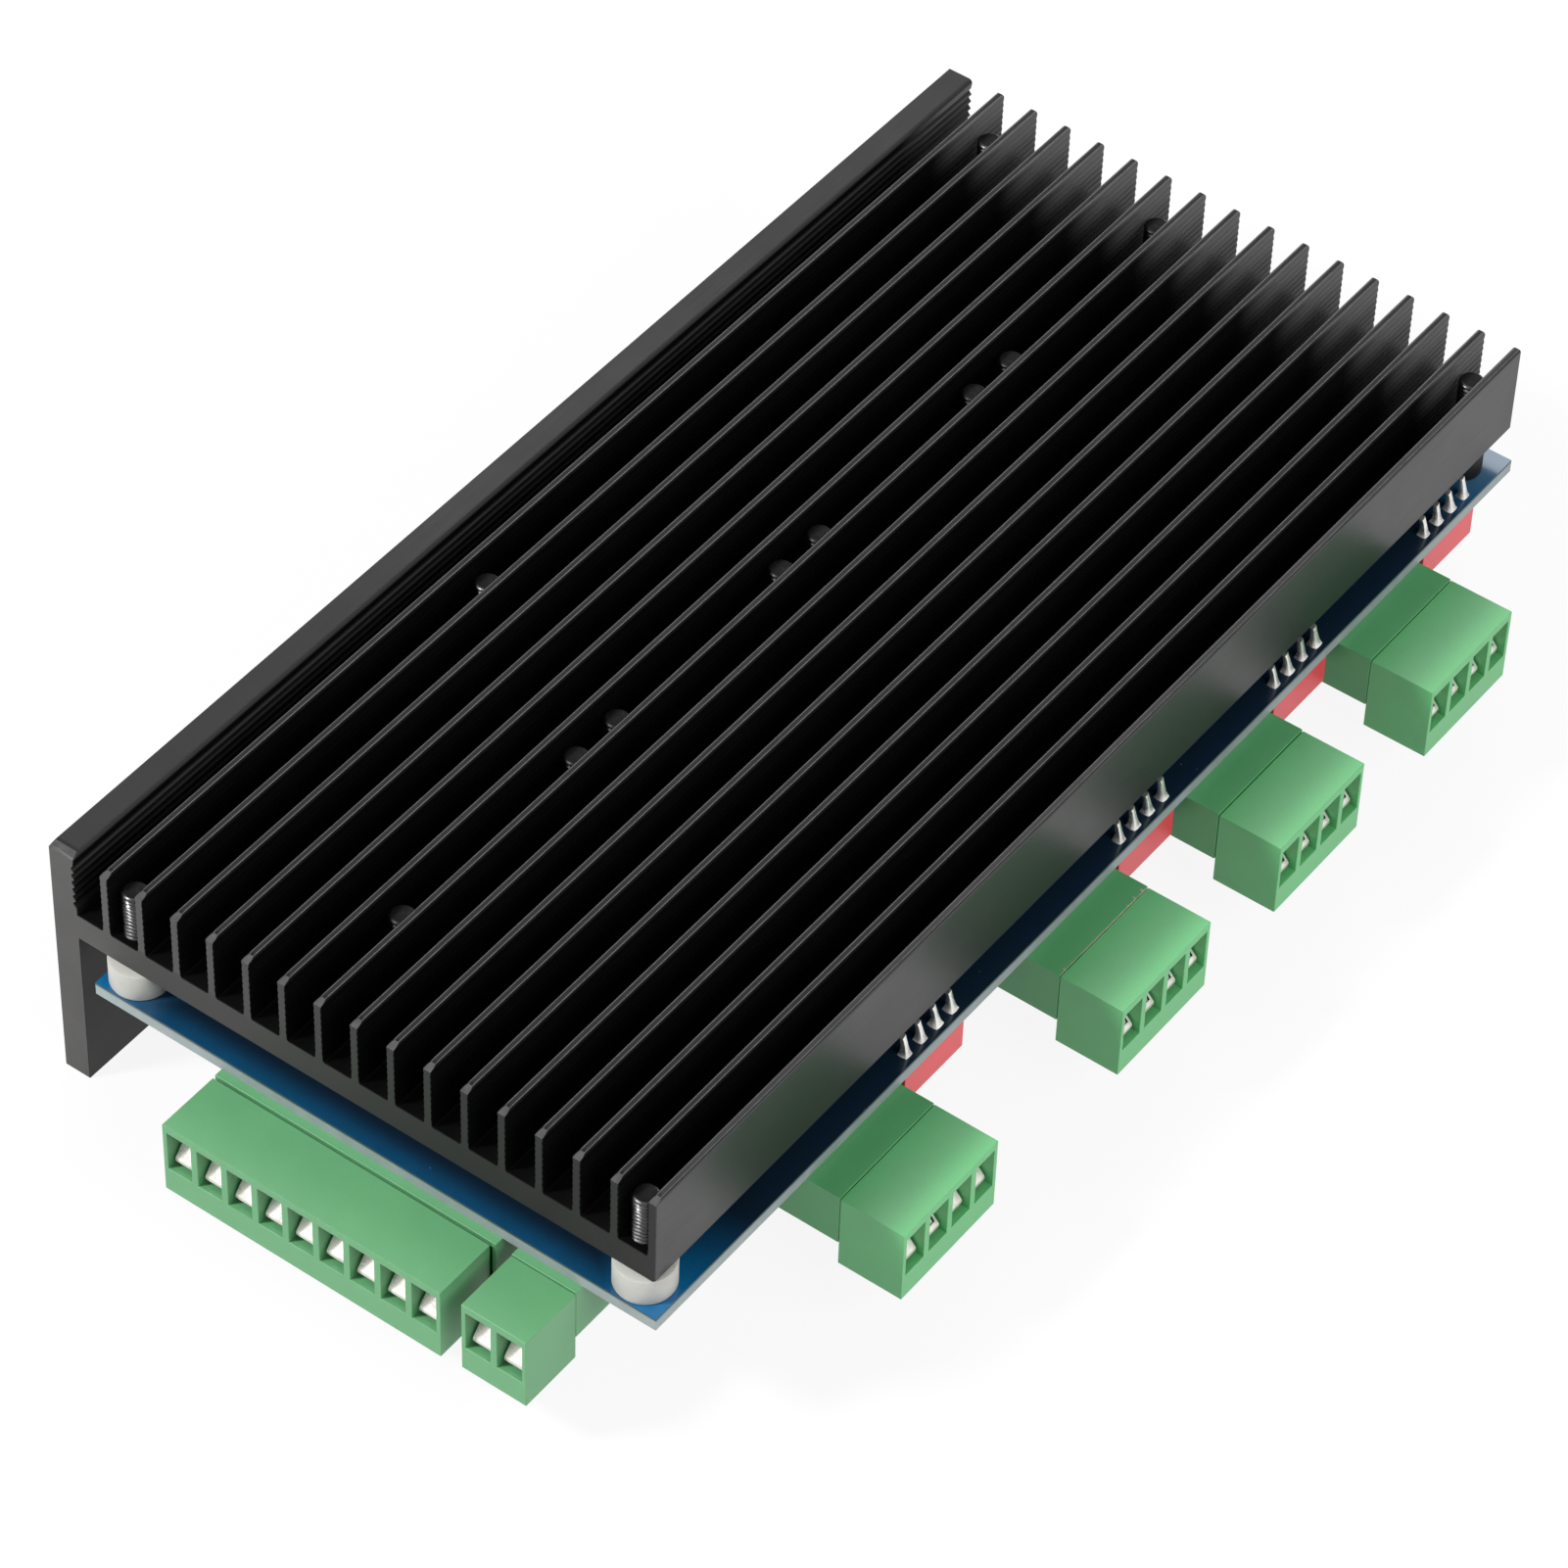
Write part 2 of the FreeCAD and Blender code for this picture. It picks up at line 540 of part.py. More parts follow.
def make_driver_chip(number, middle):
    """A power package flat against the base plate, with slotted screw ears and two rows of leads."""
    name = "chip_%d" % number
    body = box(name + "_body", "chip_channel_x - chip_depth / 2", "%s - chip_length / 2" % middle,
               "base_bottom - chip_thickness", "chip_depth", "chip_length", "chip_thickness")
    start = "chip_channel_x + chip_depth / 2"
    level = "base_bottom - chip_lead_level"
    leads = []
    for lead in range(int(value("chip_lead_count"))):
        tag = "%s_lead_%d" % (name, lead + 1)
        steps = "(%d - (chip_lead_count - 1) / 2)" % lead
        lead_y = "%s + %s * chip_lead_pitch - chip_lead_width / 2" % (middle, steps)
        if lead % 2 == 0:
            leads.append(box(tag, start, lead_y, "board_top", "chip_lead_thickness", "chip_lead_width",
                             level + " - board_top"))
            continue
        reach = start + " + chip_row_step"
        corners = [
            (start, level),
            (reach, level),
            (reach, "board_top"),
            (reach + " - chip_lead_thickness", "board_top"),
            (reach + " - chip_lead_thickness", level + " - chip_lead_thickness"),
            (start, level + " - chip_lead_thickness"),
        ]
        leads.append(prism(tag, corners, ACROSS, (0, 1, 0), lead_y, "chip_lead_width"))
    cuts = []
    recess = "(head_radius + chip_recess_clearance)"
    for side, sign in (("near", "-"), ("far", "+")):
        hole_y = "%s %s chip_hole_pitch / 2" % (middle, sign)
        slot_y = hole_y if sign == "+" else "%s - chip_length / 2" % middle
        recess_y = "%s - %s" % (hole_y, recess) if sign == "+" else slot_y
        cuts.append(peg("%s_%s_hole" % (name, side), "chip_channel_x", hole_y,
                        "base_bottom - chip_thickness", "chip_notch_radius", "chip_thickness"))
        cuts.append(box("%s_%s_slot" % (name, side), "chip_channel_x - chip_notch_radius", slot_y,
                        "base_bottom - chip_thickness", "2 * chip_notch_radius",
                        "(chip_length - chip_hole_pitch) / 2", "chip_thickness"))
        cuts.append(box("%s_%s_recess" % (name, side), "chip_channel_x - " + recess, recess_y,
                        "base_bottom - chip_thickness", "2 * " + recess,
                        "(chip_length - chip_hole_pitch) / 2 + " + recess,
                        "chip_thickness - chip_ear_thickness"))
    node("driver_chip_%d" % number, cut(name, fuse(name + "_blank", [body] + leads), cuts))


class Edge:
    """A board edge with terminals: u runs along the edge, v points away from the board."""

    def __init__(self, along_y, start, plug_gap, overhang="0"):
        self.along_y = along_y
        self.start = start
        self.plug_gap = plug_gap
        self.overhang = overhang

    def box(self, name, u, v, z, du, dv, dz):
        along = "%s + %s" % (self.start, u)
        if self.along_y:
            return box(name, "motor_face_x + %s" % v, along, z, dv, du, dz)
        return box(name, along, "front_face_y - (%s) - (%s)" % (v, dv), z, du, dv, dz)

    def post(self, name, u, v, z, radius, height):
        along = "%s + %s" % (self.start, u)
        if self.along_y:
            return peg(name, "motor_face_x + %s" % v, along, z, radius, height)
        return peg(name, along, "front_face_y - (%s)" % v, z, radius, height)


TERMINALS = [
    ("motor_%d" % n, Edge(True, "motor_%d_y" % n, "tight_plug_gap"), "motor_poles") for n in range(1, 5)
]
TERMINALS += [
    ("control", Edge(False, "control_x", "control_plug_gap", "control_header_overhang"), "control_poles"),
    ("power", Edge(False, "power_x", "tight_plug_gap"), "power_poles"),
]


def pole_centre(pole):
    return "plug_side_wall + %.1f * pole_pitch" % (pole + 0.5)


def make_pole(tag, edge, middle, shared):
    """What belongs to one pole: openings of header and plug, wire clamp, its screw, contact pin."""
    face = "%s + plug_depth" % edge.plug_gap
    clamp_v = "(%s - cage_setback - cage_depth / 2)" % face
    cage_v = "%s - cage_setback - cage_depth" % face
    cage_width = "(entry_width - 2 * cage_clearance)"
    cage_u = "%s - %s / 2" % (middle, cage_width)
    pin_u = middle + " - pin_size / 2"
    pin_z = "contact_level - pin_size / 2"
    leg_v = "-header_depth - pin_drop_setback - pin_size"
    hole_size = "pin_size + 2 * lead_hole_clearance"
    frame = edge.box(tag + "_frame", cage_u, cage_v, "cage_bottom", cage_width, "cage_depth", "cage_height")
    window = edge.box(tag + "_window", cage_u + " + cage_wall", cage_v, "cage_bottom + cage_wall",
                      cage_width + " - 2 * cage_wall", "cage_depth", "cage_height - 2 * cage_wall")
    shared["wire_clamps"].append(cut(tag + "_cage", frame, [window]))
    shared["clamp_screws"].append(edge.post(
        tag + "_screw", middle, clamp_v, "plug_bottom + clamp_screw_inset", "clamp_screw_radius",
        "cage_bottom - plug_bottom - clamp_screw_inset"))
    reach = edge.box(tag + "_pin", pin_u, leg_v, pin_z, "pin_size",
                     "header_depth + pin_drop_setback + pin_size - pin_mouth_gap", "pin_size")
    leg = edge.box(tag + "_leg", pin_u, leg_v, pin_z, "pin_size", "pin_size",
                   "board_top + pin_standout - contact_level + pin_size / 2")
    shared["header_pins"].append(fuse(tag + "_contact", [reach, leg]))
    shared["board_holes"].append(edge.box(
        tag + "_hole", pin_u + " - lead_hole_clearance", leg_v + " - lead_hole_clearance", "board_bottom",
        hole_size, hole_size, "board_thickness"))
    seat = edge.box(tag + "_seat", pin_u, "-header_depth", pin_z, "pin_size", "header_back", "pin_size")
    plug_openings = [
        edge.box(tag + "_entry", middle + " - entry_width / 2", face + " - entry_depth", "entry_bottom",
                 "entry_width", "entry_depth", "entry_height"),
        edge.box(tag + "_socket", middle + " - socket_size / 2", "-tongue_length",
                 "contact_level - socket_size / 2", "socket_size", "tongue_length", "socket_size"),
        edge.post(tag + "_screw_hole", middle, clamp_v, "plug_bottom", "clamp_screw_hole_radius",
                  "entry_bottom - plug_bottom"),
    ]
    return seat, plug_openings


def make_terminal(name, edge, poles, shared):
    """A header on the board's edge and the plug that is pushed into it."""
    length = "%s * pole_pitch + 2 * plug_side_wall" % poles
    inner_length = length + " - 2 * header_end_wall"
    header_cuts = [edge.box(name + "_cavity", "header_end_wall", "header_back - header_depth",
                            "cavity_bottom", "%s + %s" % (inner_length, edge.overhang),
                            "header_depth - header_back + cut_margin", "cavity_height")]
    plug_cuts = []
    for pole in range(int(value(poles))):
        seat, plug_openings = make_pole("%s_%d" % (name, pole + 1), edge, pole_centre(pole), shared)
        header_cuts.append(seat)
        plug_cuts += plug_openings
    shell = edge.box(name + "_shell", "0", "-header_depth", "header_bottom",
                     "%s + %s" % (length, edge.overhang), "header_depth", "header_height")
    node("header_" + name, cut(name + "_header", shell, header_cuts))
    block = edge.box(name + "_block", "0", edge.plug_gap, "plug_bottom", length, "plug_depth", "plug_height")
    tongue = edge.box(name + "_tongue", "header_end_wall + tongue_clearance", "-tongue_length",
                      "cavity_bottom + tongue_clearance", inner_length + " - 2 * tongue_clearance",
                      "tongue_length + " + edge.plug_gap, "cavity_height - 2 * tongue_clearance")
    node("plug_" + name, cut(name + "_plug", fuse(name + "_blank", [block, tongue]), plug_cuts))


def make_dip_switch(number, shared):
    """A switch after each motor header, its sliders facing down, its leads through the board."""
    near = "motor_%d_y + motor_plug_length + dip_%d_gap" % (number, number)
    name = "dip_%d" % number
    slots = []
    for position in range(4):
        tag = "%s_%d" % (name, position + 1)
        middle = "%s + dip_first_lead + %d * dip_pitch" % (near, position)
        slots.append(box(tag + "_slot", "dip_slot_x", middle + " - dip_slot_width / 2", "dip_bottom",
                         "dip_slot_length", "dip_slot_width", "dip_slot_depth"))
        slider = box(tag + "_slider", "dip_slot_x + slider_clearance", middle + " - slider_width / 2",
                     "dip_bottom", "slider_length", "slider_width", "slider_height")
        node("slider_%d_%d" % (number, position + 1), slider)
        for row, sign in (("outer", ""), ("inner", " - dip_row_spacing")):
            lead_x = "dip_lead_x%s - dip_lead_thickness / 2" % sign
            shared["dip_leads"].append(box(
                "%s_%s_lead" % (tag, row), lead_x, middle + " - dip_lead_width / 2", "board_bottom",
                "dip_lead_thickness", "dip_lead_width", "board_thickness + dip_lead_standout"))
            shared["board_holes"].append(box(
                "%s_%s_hole" % (tag, row), lead_x + " - lead_hole_clearance",
                middle + " - dip_lead_width / 2 - lead_hole_clearance", "board_bottom",
                "dip_lead_thickness + 2 * lead_hole_clearance", "dip_lead_width + 2 * lead_hole_clearance",
                "board_thickness"))
    shell = box(name + "_shell", "dip_left", near, "dip_bottom", "dip_width", "dip_length", "dip_height")
    node("dip_switch_%d" % number, cut(name, shell, slots))


def make_board(shared):
    plate = box("board_plate", "board_left", "board_near", "board_bottom",
                "board_width", "board_length", "board_thickness")
    holes = [
        peg("board_hole_" + name, x, y, "board_bottom", "screw_hole_radius", "board_thickness")
        for name, x, y in BOARD_SCREWS
    ]
    node("circuit_board", cut("board", plate, holes + shared["board_holes"]))


def shell_corners(inset):
    """The data socket's D-shaped outline in X and Z, narrower at the bottom."""
    half_width = "(data_shell_width / 2 - %s)" % inset
    half_height = "(data_shell_height / 2 - %s)" % inset
    return [
        ("data_x - %s + data_taper" % half_width, "data_z - %s" % half_height),
        ("data_x + %s - data_taper" % half_width, "data_z - %s" % half_height),
        ("data_x + %s + data_taper" % half_width, "data_z + %s" % half_height),
        ("data_x - %s - data_taper" % half_width, "data_z + %s" % half_height),
    ]


def make_data_socket():
    """The 25-way socket that hangs under the far edge of the board."""
    outer = prism("data_shell_outer", shell_corners("0"), ACROSS, (0, 1, 0), "data_flange_y",
                  "data_flange_thickness + data_shell_reach")
    flange = box("data_flange", "data_x - data_flange_width / 2", "data_flange_y",
                 "data_z - data_flange_height / 2", "data_flange_width", "data_flange_thickness",
                 "data_flange_height")
    hollow = prism("data_shell_hollow", shell_corners("data_shell_wall"), ACROSS, (0, 1, 0), "data_flange_y",
                   "data_flange_thickness + data_shell_reach")
    node("data_socket_shell", cut("data_shell", fuse("data_shell_blank", [outer, flange]), [hollow]))
    insert = prism("data_insert", shell_corners("data_shell_wall"), ACROSS, (0, 1, 0), "data_flange_y",
                   "data_flange_thickness + data_shell_reach")
    back = box("data_back", "data_x - data_body_width / 2", "data_flange_y - data_body_depth",
               "board_bottom - data_body_height", "data_body_width", "data_body_depth", "data_body_height")
    contacts = []
    for row, count, level in (("upper", 13, "+"), ("lower", 12, "-")):
        for place_number in range(count):
            offset = "(%d - %.1f) * data_contact_pitch" % (place_number, (count - 1) / 2)
            contacts.append(box("data_%s_%d" % (row, place_number + 1),
                                "data_x + %s - data_contact_size / 2" % offset,
                                "data_flange_y + data_flange_thickness",
                                "data_z %s data_row_offset - data_contact_size / 2" % level,
                                "data_contact_size", "data_shell_reach", "data_contact_size"))
    node("data_socket_insert", cut("data_insert_cut", fuse("data_insert_blank", [insert, back]), contacts))
    nuts = []
    for side, sign in (("left", "-"), ("right", "+")):
        nuts.append(peg("data_nut_" + side, "data_x %s data_nut_spacing / 2" % sign,
                        "data_flange_y + data_flange_thickness", "data_z", "data_nut_radius",
                        "data_nut_length", "6", ALONG_Y))
    node("data_socket_nuts", group("data_nuts", nuts))


def surface_part(name, kind, near_y):
    """A plain chip under the board; its sizes and its row are named after its kind."""
    return box(name, "%s_x - %s_width / 2" % (kind, kind), near_y, "board_bottom - %s_height" % kind,
               kind + "_width", kind + "_length", kind + "_height")


def surface_pair(kind, number, middle):
    """Two chips of a kind, a gap apart, on both sides of a place along the board."""
    far_start = "%s + %s_gap / 2" % (middle, kind)
    near_start = "%s - %s_gap / 2 - %s_length" % (middle, kind, kind)
    return [
        surface_part("%s_%d_near" % (kind, number), kind, near_start),
        surface_part("%s_%d_far" % (kind, number), kind, far_start),
    ]


def make_component_side():
    """Capacitors, optocouplers, logic chips, regulator and sense resistors under the board."""
    resistors = []
    optocouplers = []
    for number, middle in CHIPS:
        node("capacitor_%d" % number, cylinder(
            "can_%d" % number, "capacitor_x", middle, "board_bottom - capacitor_height",
            "capacitor_radius", "capacitor_height"))
        optocouplers += surface_pair("optocoupler", number, middle)
        resistors += surface_pair("resistor", number, middle + " - resistor_setback")
    node("optocouplers", group("optocoupler_set", optocouplers))
    node("sense_resistors", group("resistor_set", resistors))
    logic = [
        surface_part("logic_%d" % number, "logic", "%s - logic_shift - logic_length / 2" % middle)
        for number, middle in CHIPS[1:]
    ]
    node("logic_chips", group("logic_set", logic))
    tab = box("regulator_tab", "regulator_x - regulator_width / 2", "regulator_y",
              "board_bottom - regulator_tab_thickness", "regulator_width", "regulator_tab_length",
              "regulator_tab_thickness")
    body = box("regulator_body", "regulator_x - regulator_width / 2", "regulator_y",
               "board_bottom - regulator_thickness", "regulator_width", "regulator_body_length",
               "regulator_thickness")
    hole = peg("regulator_hole", "regulator_x", "regulator_y + regulator_tab_length - regulator_hole_inset",
               "board_bottom - regulator_tab_thickness", "regulator_hole_radius", "regulator_tab_thickness")
    node("regulator", cut("regulator_cut", fuse("regulator_blank", [tab, body]), [hole]))


def check_and_export():
    doc.recompute()
    for piece in doc.Objects:
        if "Invalid" in piece.State or "Error" in piece.State:
            raise RuntimeError("%s did not build: %s" % (piece.Name, piece.State))
    for label, piece in nodes.items():
        shape = piece.Shape
        if shape.isNull() or not shape.isValid() or not shape.Solids:
            raise RuntimeError("%s has no valid solid" % label)
    for label, piece in nodes.items():
        piece.Shape.exportStep("parts/%s.step" % label)
        print("%-22s %3d solids %10.2f mm3" % (label, len(piece.Shape.Solids), piece.Shape.Volume))


make_heatsink()
make_fasteners()
for chip_number, chip_middle in CHIPS:
    make_driver_chip(chip_number, chip_middle)
common = {"clamp_screws": [], "wire_clamps": [], "header_pins": [], "board_holes": [], "dip_leads": []}
for terminal_name, terminal_edge, terminal_poles in TERMINALS:
    make_terminal(terminal_name, terminal_edge, terminal_poles, common)
for switch_number in range(1, 5):
    make_dip_switch(switch_number, common)
for shared_name in ("clamp_screws", "wire_clamps", "header_pins", "dip_leads"):
    node(shared_name, group(shared_name + "_set", common[shared_name]))
make_board(common)
make_data_socket()
make_component_side()
check_and_export()
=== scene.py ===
import math

import bmesh
import bpy
import numpy as np
from mathutils import Matrix, Vector


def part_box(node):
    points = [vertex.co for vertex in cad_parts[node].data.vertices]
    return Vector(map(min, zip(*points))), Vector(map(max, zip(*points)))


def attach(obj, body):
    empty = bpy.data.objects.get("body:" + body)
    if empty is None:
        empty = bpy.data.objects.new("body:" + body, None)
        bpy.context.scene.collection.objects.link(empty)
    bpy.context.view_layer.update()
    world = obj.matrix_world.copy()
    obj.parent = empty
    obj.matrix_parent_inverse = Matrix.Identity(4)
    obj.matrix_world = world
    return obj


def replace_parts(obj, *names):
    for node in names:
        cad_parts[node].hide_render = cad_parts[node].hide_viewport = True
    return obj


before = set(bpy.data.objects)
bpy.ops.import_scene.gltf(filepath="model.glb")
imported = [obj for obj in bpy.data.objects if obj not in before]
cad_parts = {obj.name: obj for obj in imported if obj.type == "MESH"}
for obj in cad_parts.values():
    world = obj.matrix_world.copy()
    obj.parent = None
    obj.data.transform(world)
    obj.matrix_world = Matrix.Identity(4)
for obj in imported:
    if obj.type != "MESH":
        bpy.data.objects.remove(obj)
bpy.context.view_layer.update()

MM = 0.001
BODY = "driver"
ROUND = 2 * math.pi
SHARP_ANGLE = math.radians(38)
EASED_ANGLE = math.radians(35)

# Heatsink extrusion, in mm.
SINK_HALF_LENGTH = 75.0
WALL_OUTER = -1.6
WALL_INNER = 1.6
SINK_RIGHT = 72.95
BASE_BOTTOM = 20.7
BASE_TOP = 24.0
FIN_TOP = 32.1
WALL_TOP = 32.1
WALL_ROUND = 0.5
WALL_OUTER_ROUND = 0.12
FIN_COUNT = 16
FIN_PITCH = 4.47
FIRST_FIN_X = 5.4
FIN_HALF = 0.5
SIDE_BEVEL = 0.3
NEAR_BEVEL_LENGTH = 1.3
NEAR_BEVEL_DEPTH = 0.3
TIP_ROUND = 0.3
TIP_STEPS = 5
RUB_DROP = 0.15 * TIP_ROUND
TIP_FLAT = 0.003
GROOVES = 8
GROOVE_START = 0.75
GROOVE_PITCH = 0.85
GROOVE_DEPTH = 0.07
CURVE_STEPS = 6
TEETH = 6
TOOTH_START = 1.0
TOOTH_DEPTH = 0.35
DEBURR = 0.07

# Board and its screws, in mm.
BOARD_TOP = 17.3
BOARD_BOTTOM = 15.7
SCREW_PITCH = 0.5
SCREW_RADIUS = 1.4
THREAD_DEPTH = 0.27
HEAD_HEIGHT = 1.7
CORE_RADIUS = 1.2
BORE_RADIUS = 1.55
WHITE_SPACER_WIDTH = 5.5

# Switch leads and solder, in mm.
LEAD_HALF = 0.28
LEAD_TRIM = 0.35
LEAD_LEAN = (-0.36, -0.2)
SOLDER_FLARE = 0.38
SOLDER_FALL = 0.6
TIP_SLANT = 0.15

# Terminals, in mm.
JAW_LEVEL = 10.4
JAW_RISE = 2.0
JAW_REACH = 2.6
JAW_WALL = 0.4
JAW_WIDTH = 2.5
JAW_HOLLOW = 0.7
CAGE_FRONT = JAW_REACH - 0.3
CAGE_BACK = JAW_REACH + 0.9
CAGE_TOP = 14.4
LIFTED_JAWS = (0, 2, 3)
MOTOR_SIDE_X = 76

# Component side, in mm.
DRIVER_CHIP_SIDE = 36.48
LEG_PITCH = 2.54
LEG_WIDE = 1.2
LEG_NARROW = 0.5
LEG_HALF = 0.13
REGULATOR_LEG_HALF = 0.4
REGULATOR_LEG_LOW = 13.2
REGULATOR_TAB_Y = -47.0
REGULATOR_TAB_DROP = 1.31
CAP_LENGTH = 0.9
CAP_SKIN = 0.03
VENT_DEPTH = 0.18
VENT_HALF = 0.3

# Where colour changes along a piece's own axes: from none to full, in mm.
# Where painted light takes the board's mask from navy painted shade back to its plain blue.
MASK_NEAR_EDGE = (-72.9, -76.2)
MASK_RIGHT = (64, 72)
MASK_LEFT = (14, 5)
MASK_NEAR_END = (-60, -72)
MASK_FAR_END = (60, 72)
FAR_CORNER_X = (66, 72)
FAR_CORNER_Y = (65, 72)
MASK_LIP = (BOARD_TOP - 0.45, BOARD_TOP - 0.1)
# Where painted shade darkens the sawn end.
SAWN_RIGHT = (-10, 55)
SAWN_BASE_X = (1, 12)
SAWN_BASE_Z = (BASE_TOP + 1.0, BASE_TOP)
# Where painted light greys the fins' sides near the far end.
FAR_FLANK_LIGHT_BAND = (61, 69)


# ---------------------------------------------------------------- meshes

def piece(name, points, faces, finishes, marks=None, smooth=True, body=BODY):
    """A mesh from points in mm; marks gives each face its finish."""
    mesh = bpy.data.meshes.new(name)
    corners = (np.asarray(points, float) * MM).tolist()
    mesh.from_pydata(corners, [], [list(map(int, face)) for face in faces])
    for one in finishes:
        mesh.materials.append(one)
    if marks is not None:
        mesh.polygons.foreach_set("material_index", np.asarray(marks, np.int32))
    mesh.polygons.foreach_set("use_smooth", np.full(len(mesh.polygons), smooth))
    mesh.validate()
    mesh.update()
    made = bpy.data.objects.new(name, mesh)
    bpy.context.scene.collection.objects.link(made)
    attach(made, body)
    return made


def grid_faces(rows, columns, start=0):
    """Quads of a grid of points, rows by columns, whose last column joins the first."""
    row, column = np.meshgrid(np.arange(rows - 1), np.arange(columns), indexing="ij")
    near = row * columns + column
    side = row * columns + (column + 1) % columns
    quads = np.stack([near, side, side + columns, near + columns], axis=-1)
    return quads.reshape(-1, 4) + start


def turned(radii, levels, sides=24):
    """A turned shape: the circle of each level's radius, as rows by sides by 3."""
    angle = np.arange(sides) / sides * ROUND
    radii = np.asarray(radii, float)[:, None]
    x = radii * np.cos(angle)
    y = radii * np.sin(angle)
    z = np.broadcast_to(np.asarray(levels, float)[:, None], x.shape)
    return np.stack([x, y, z], axis=-1)


class Batch:
    """Gathers grids into one mesh."""

    def __init__(self):
        self.points = []
        self.faces = []
        self.marks = []
        self.count = 0

    def grid(self, points, mark=0, capped=True, flip=False):
        """Rings of points, row by row; capped closes the first and the last."""
        rows, columns = points.shape[:2]
        faces = grid_faces(rows, columns, self.count)
        faces = (faces[:, ::-1] if flip else faces).tolist()
        if capped:
            first = list(range(self.count, self.count + columns))
            faces.append(first if flip else first[::-1])
            last = self.count + (rows - 1) * columns
            end = list(range(last, last + columns))
            faces.append(end[::-1] if flip else end)
        self.points.append(points.reshape(-1, 3))
        self.faces += faces
        self.marks += [mark] * len(faces)
        self.count += rows * columns

    def solid(self, points, faces, mark=0):
        self.points.append(np.asarray(points, float))
        self.faces += [[int(i) + self.count for i in face] for face in faces]
        self.marks += [mark] * len(faces)
        self.count += len(points)

    def box(self, low, high, mark=0):
        self.solid(*block(low, high), mark)

    def make(self, name, finishes, smooth=True, body=BODY, ease=0.0):
        """One piece of all that was gathered; ease rounds its edges."""
        points = np.concatenate(self.points)
        made = piece(name, points, self.faces, finishes, self.marks, smooth, body)
        work = bmesh.new()
        work.from_mesh(made.data)
        bmesh.ops.recalc_face_normals(work, faces=work.faces)
        work.to_mesh(made.data)
        work.free()
        if smooth:
            made.data.set_sharp_from_angle(angle=SHARP_ANGLE)
        if ease:
            ease_edges(made, ease)
        return made


def ease_edges(made, ease, steps=2):
    """Rounds a piece's edges over this many mm."""
    bevel = made.modifiers.new("eased_edges", "BEVEL")
    bevel.width = ease * MM
    bevel.segments = steps
    bevel.limit_method = "ANGLE"
    bevel.angle_limit = EASED_ANGLE
    bevel.harden_normals = True


def block(low, high):
    """The eight corners and six faces of a box."""
    pick = np.array([[0, 0, 0], [1, 0, 0], [1, 1, 0], [0, 1, 0],
                     [0, 0, 1], [1, 0, 1], [1, 1, 1], [0, 1, 1]])
    corners = np.where(pick, np.asarray(high, float), np.asarray(low, float))
    faces = [[3, 2, 1, 0], [4, 5, 6, 7], [0, 1, 5, 4], [1, 2, 6, 5], [2, 3, 7, 6], [3, 0, 4, 7]]
    return corners, faces


def merged(node):
    """A copy of a CAD node's mesh with its loose triangles joined into faces."""
    work = bmesh.new()
    work.from_mesh(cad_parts[node].data)
    bmesh.ops.remove_doubles(work, verts=work.verts, dist=2e-6)
    bmesh.ops.dissolve_limit(work, angle_limit=math.radians(1), verts=work.verts, edges=work.edges)
    mesh = bpy.data.meshes.new(node + "_dressed")
    work.to_mesh(mesh)
    work.free()
    return mesh


def lumps(mesh):
    """Lowest and highest corners, in mm, of each separate lump of a mesh. Points start with their own
    numbers as labels, and the two ends of every edge take the smaller label until none changes."""
    points = np.zeros(len(mesh.vertices) * 3)
    mesh.vertices.foreach_get("co", points)
    points = points.reshape(-1, 3) / MM
    edges = np.zeros(len(mesh.edges) * 2, np.int32)
    mesh.edges.foreach_get("vertices", edges)
    edges = edges.reshape(-1, 2)
    label = np.arange(len(points))
    while True:
        least = np.minimum(label[edges[:, 0]], label[edges[:, 1]])
        before = label.copy()
        np.minimum.at(label, edges[:, 0], least)
        np.minimum.at(label, edges[:, 1], least)
        if (label == before).all():
            break
    names, label = np.unique(label, return_inverse=True)
    low = np.full((len(names), 3), np.inf)
    high = np.full((len(names), 3), -np.inf)
    np.minimum.at(low, label, points)
    np.maximum.at(high, label, points)
    return low, high


def places(node):
    """Lowest and highest corners, in mm, of each separate solid of a CAD node."""
    mesh = merged(node)
    low, high = lumps(mesh)
    bpy.data.meshes.remove(mesh)
    return list(zip(low, high))


def dressed(node, finishes, ease=0.12, choose=None, steps=2, body=BODY):
    """A CAD node's own shape with eased edges; choose gives each face its finish from the faces' normals
    and middles."""
    mesh = merged(node)
    for one in finishes:
        mesh.materials.append(one)
    if choose is not None:
        normals = np.zeros(len(mesh.polygons) * 3)
        mesh.polygons.foreach_get("normal", normals)
        middles = np.zeros(len(mesh.polygons) * 3)
        mesh.polygons.foreach_get("center", middles)
        marks = choose(normals.reshape(-1, 3), middles.reshape(-1, 3) / MM)
        mesh.polygons.foreach_set("material_index", np.asarray(marks, np.int32))
    made = bpy.data.objects.new(node + "_dressed", mesh)
    bpy.context.scene.collection.objects.link(made)
    ease_edges(made, ease, steps)
    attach(made, body)
    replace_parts(made, node)
    return made


# ---------------------------------------------------------------- finishes

def step(tree, kind, output, given=None, **settings):
    """One node of a finish: its inputs are numbers, colours or other nodes' outputs."""
    made = tree.nodes.new("ShaderNode" + kind)
    for name, setting in settings.items():
        setattr(made, name, setting)
    for name, source in (given or {}).items():
        if isinstance(source, bpy.types.NodeSocket):
            tree.links.new(source, made.inputs[name])
        else:
            made.inputs[name].default_value = source
    return made.outputs[output]


def maths(tree, operation, first, second):
    return step(tree, "Math", 0, {0: first, 1: second}, operation=operation)


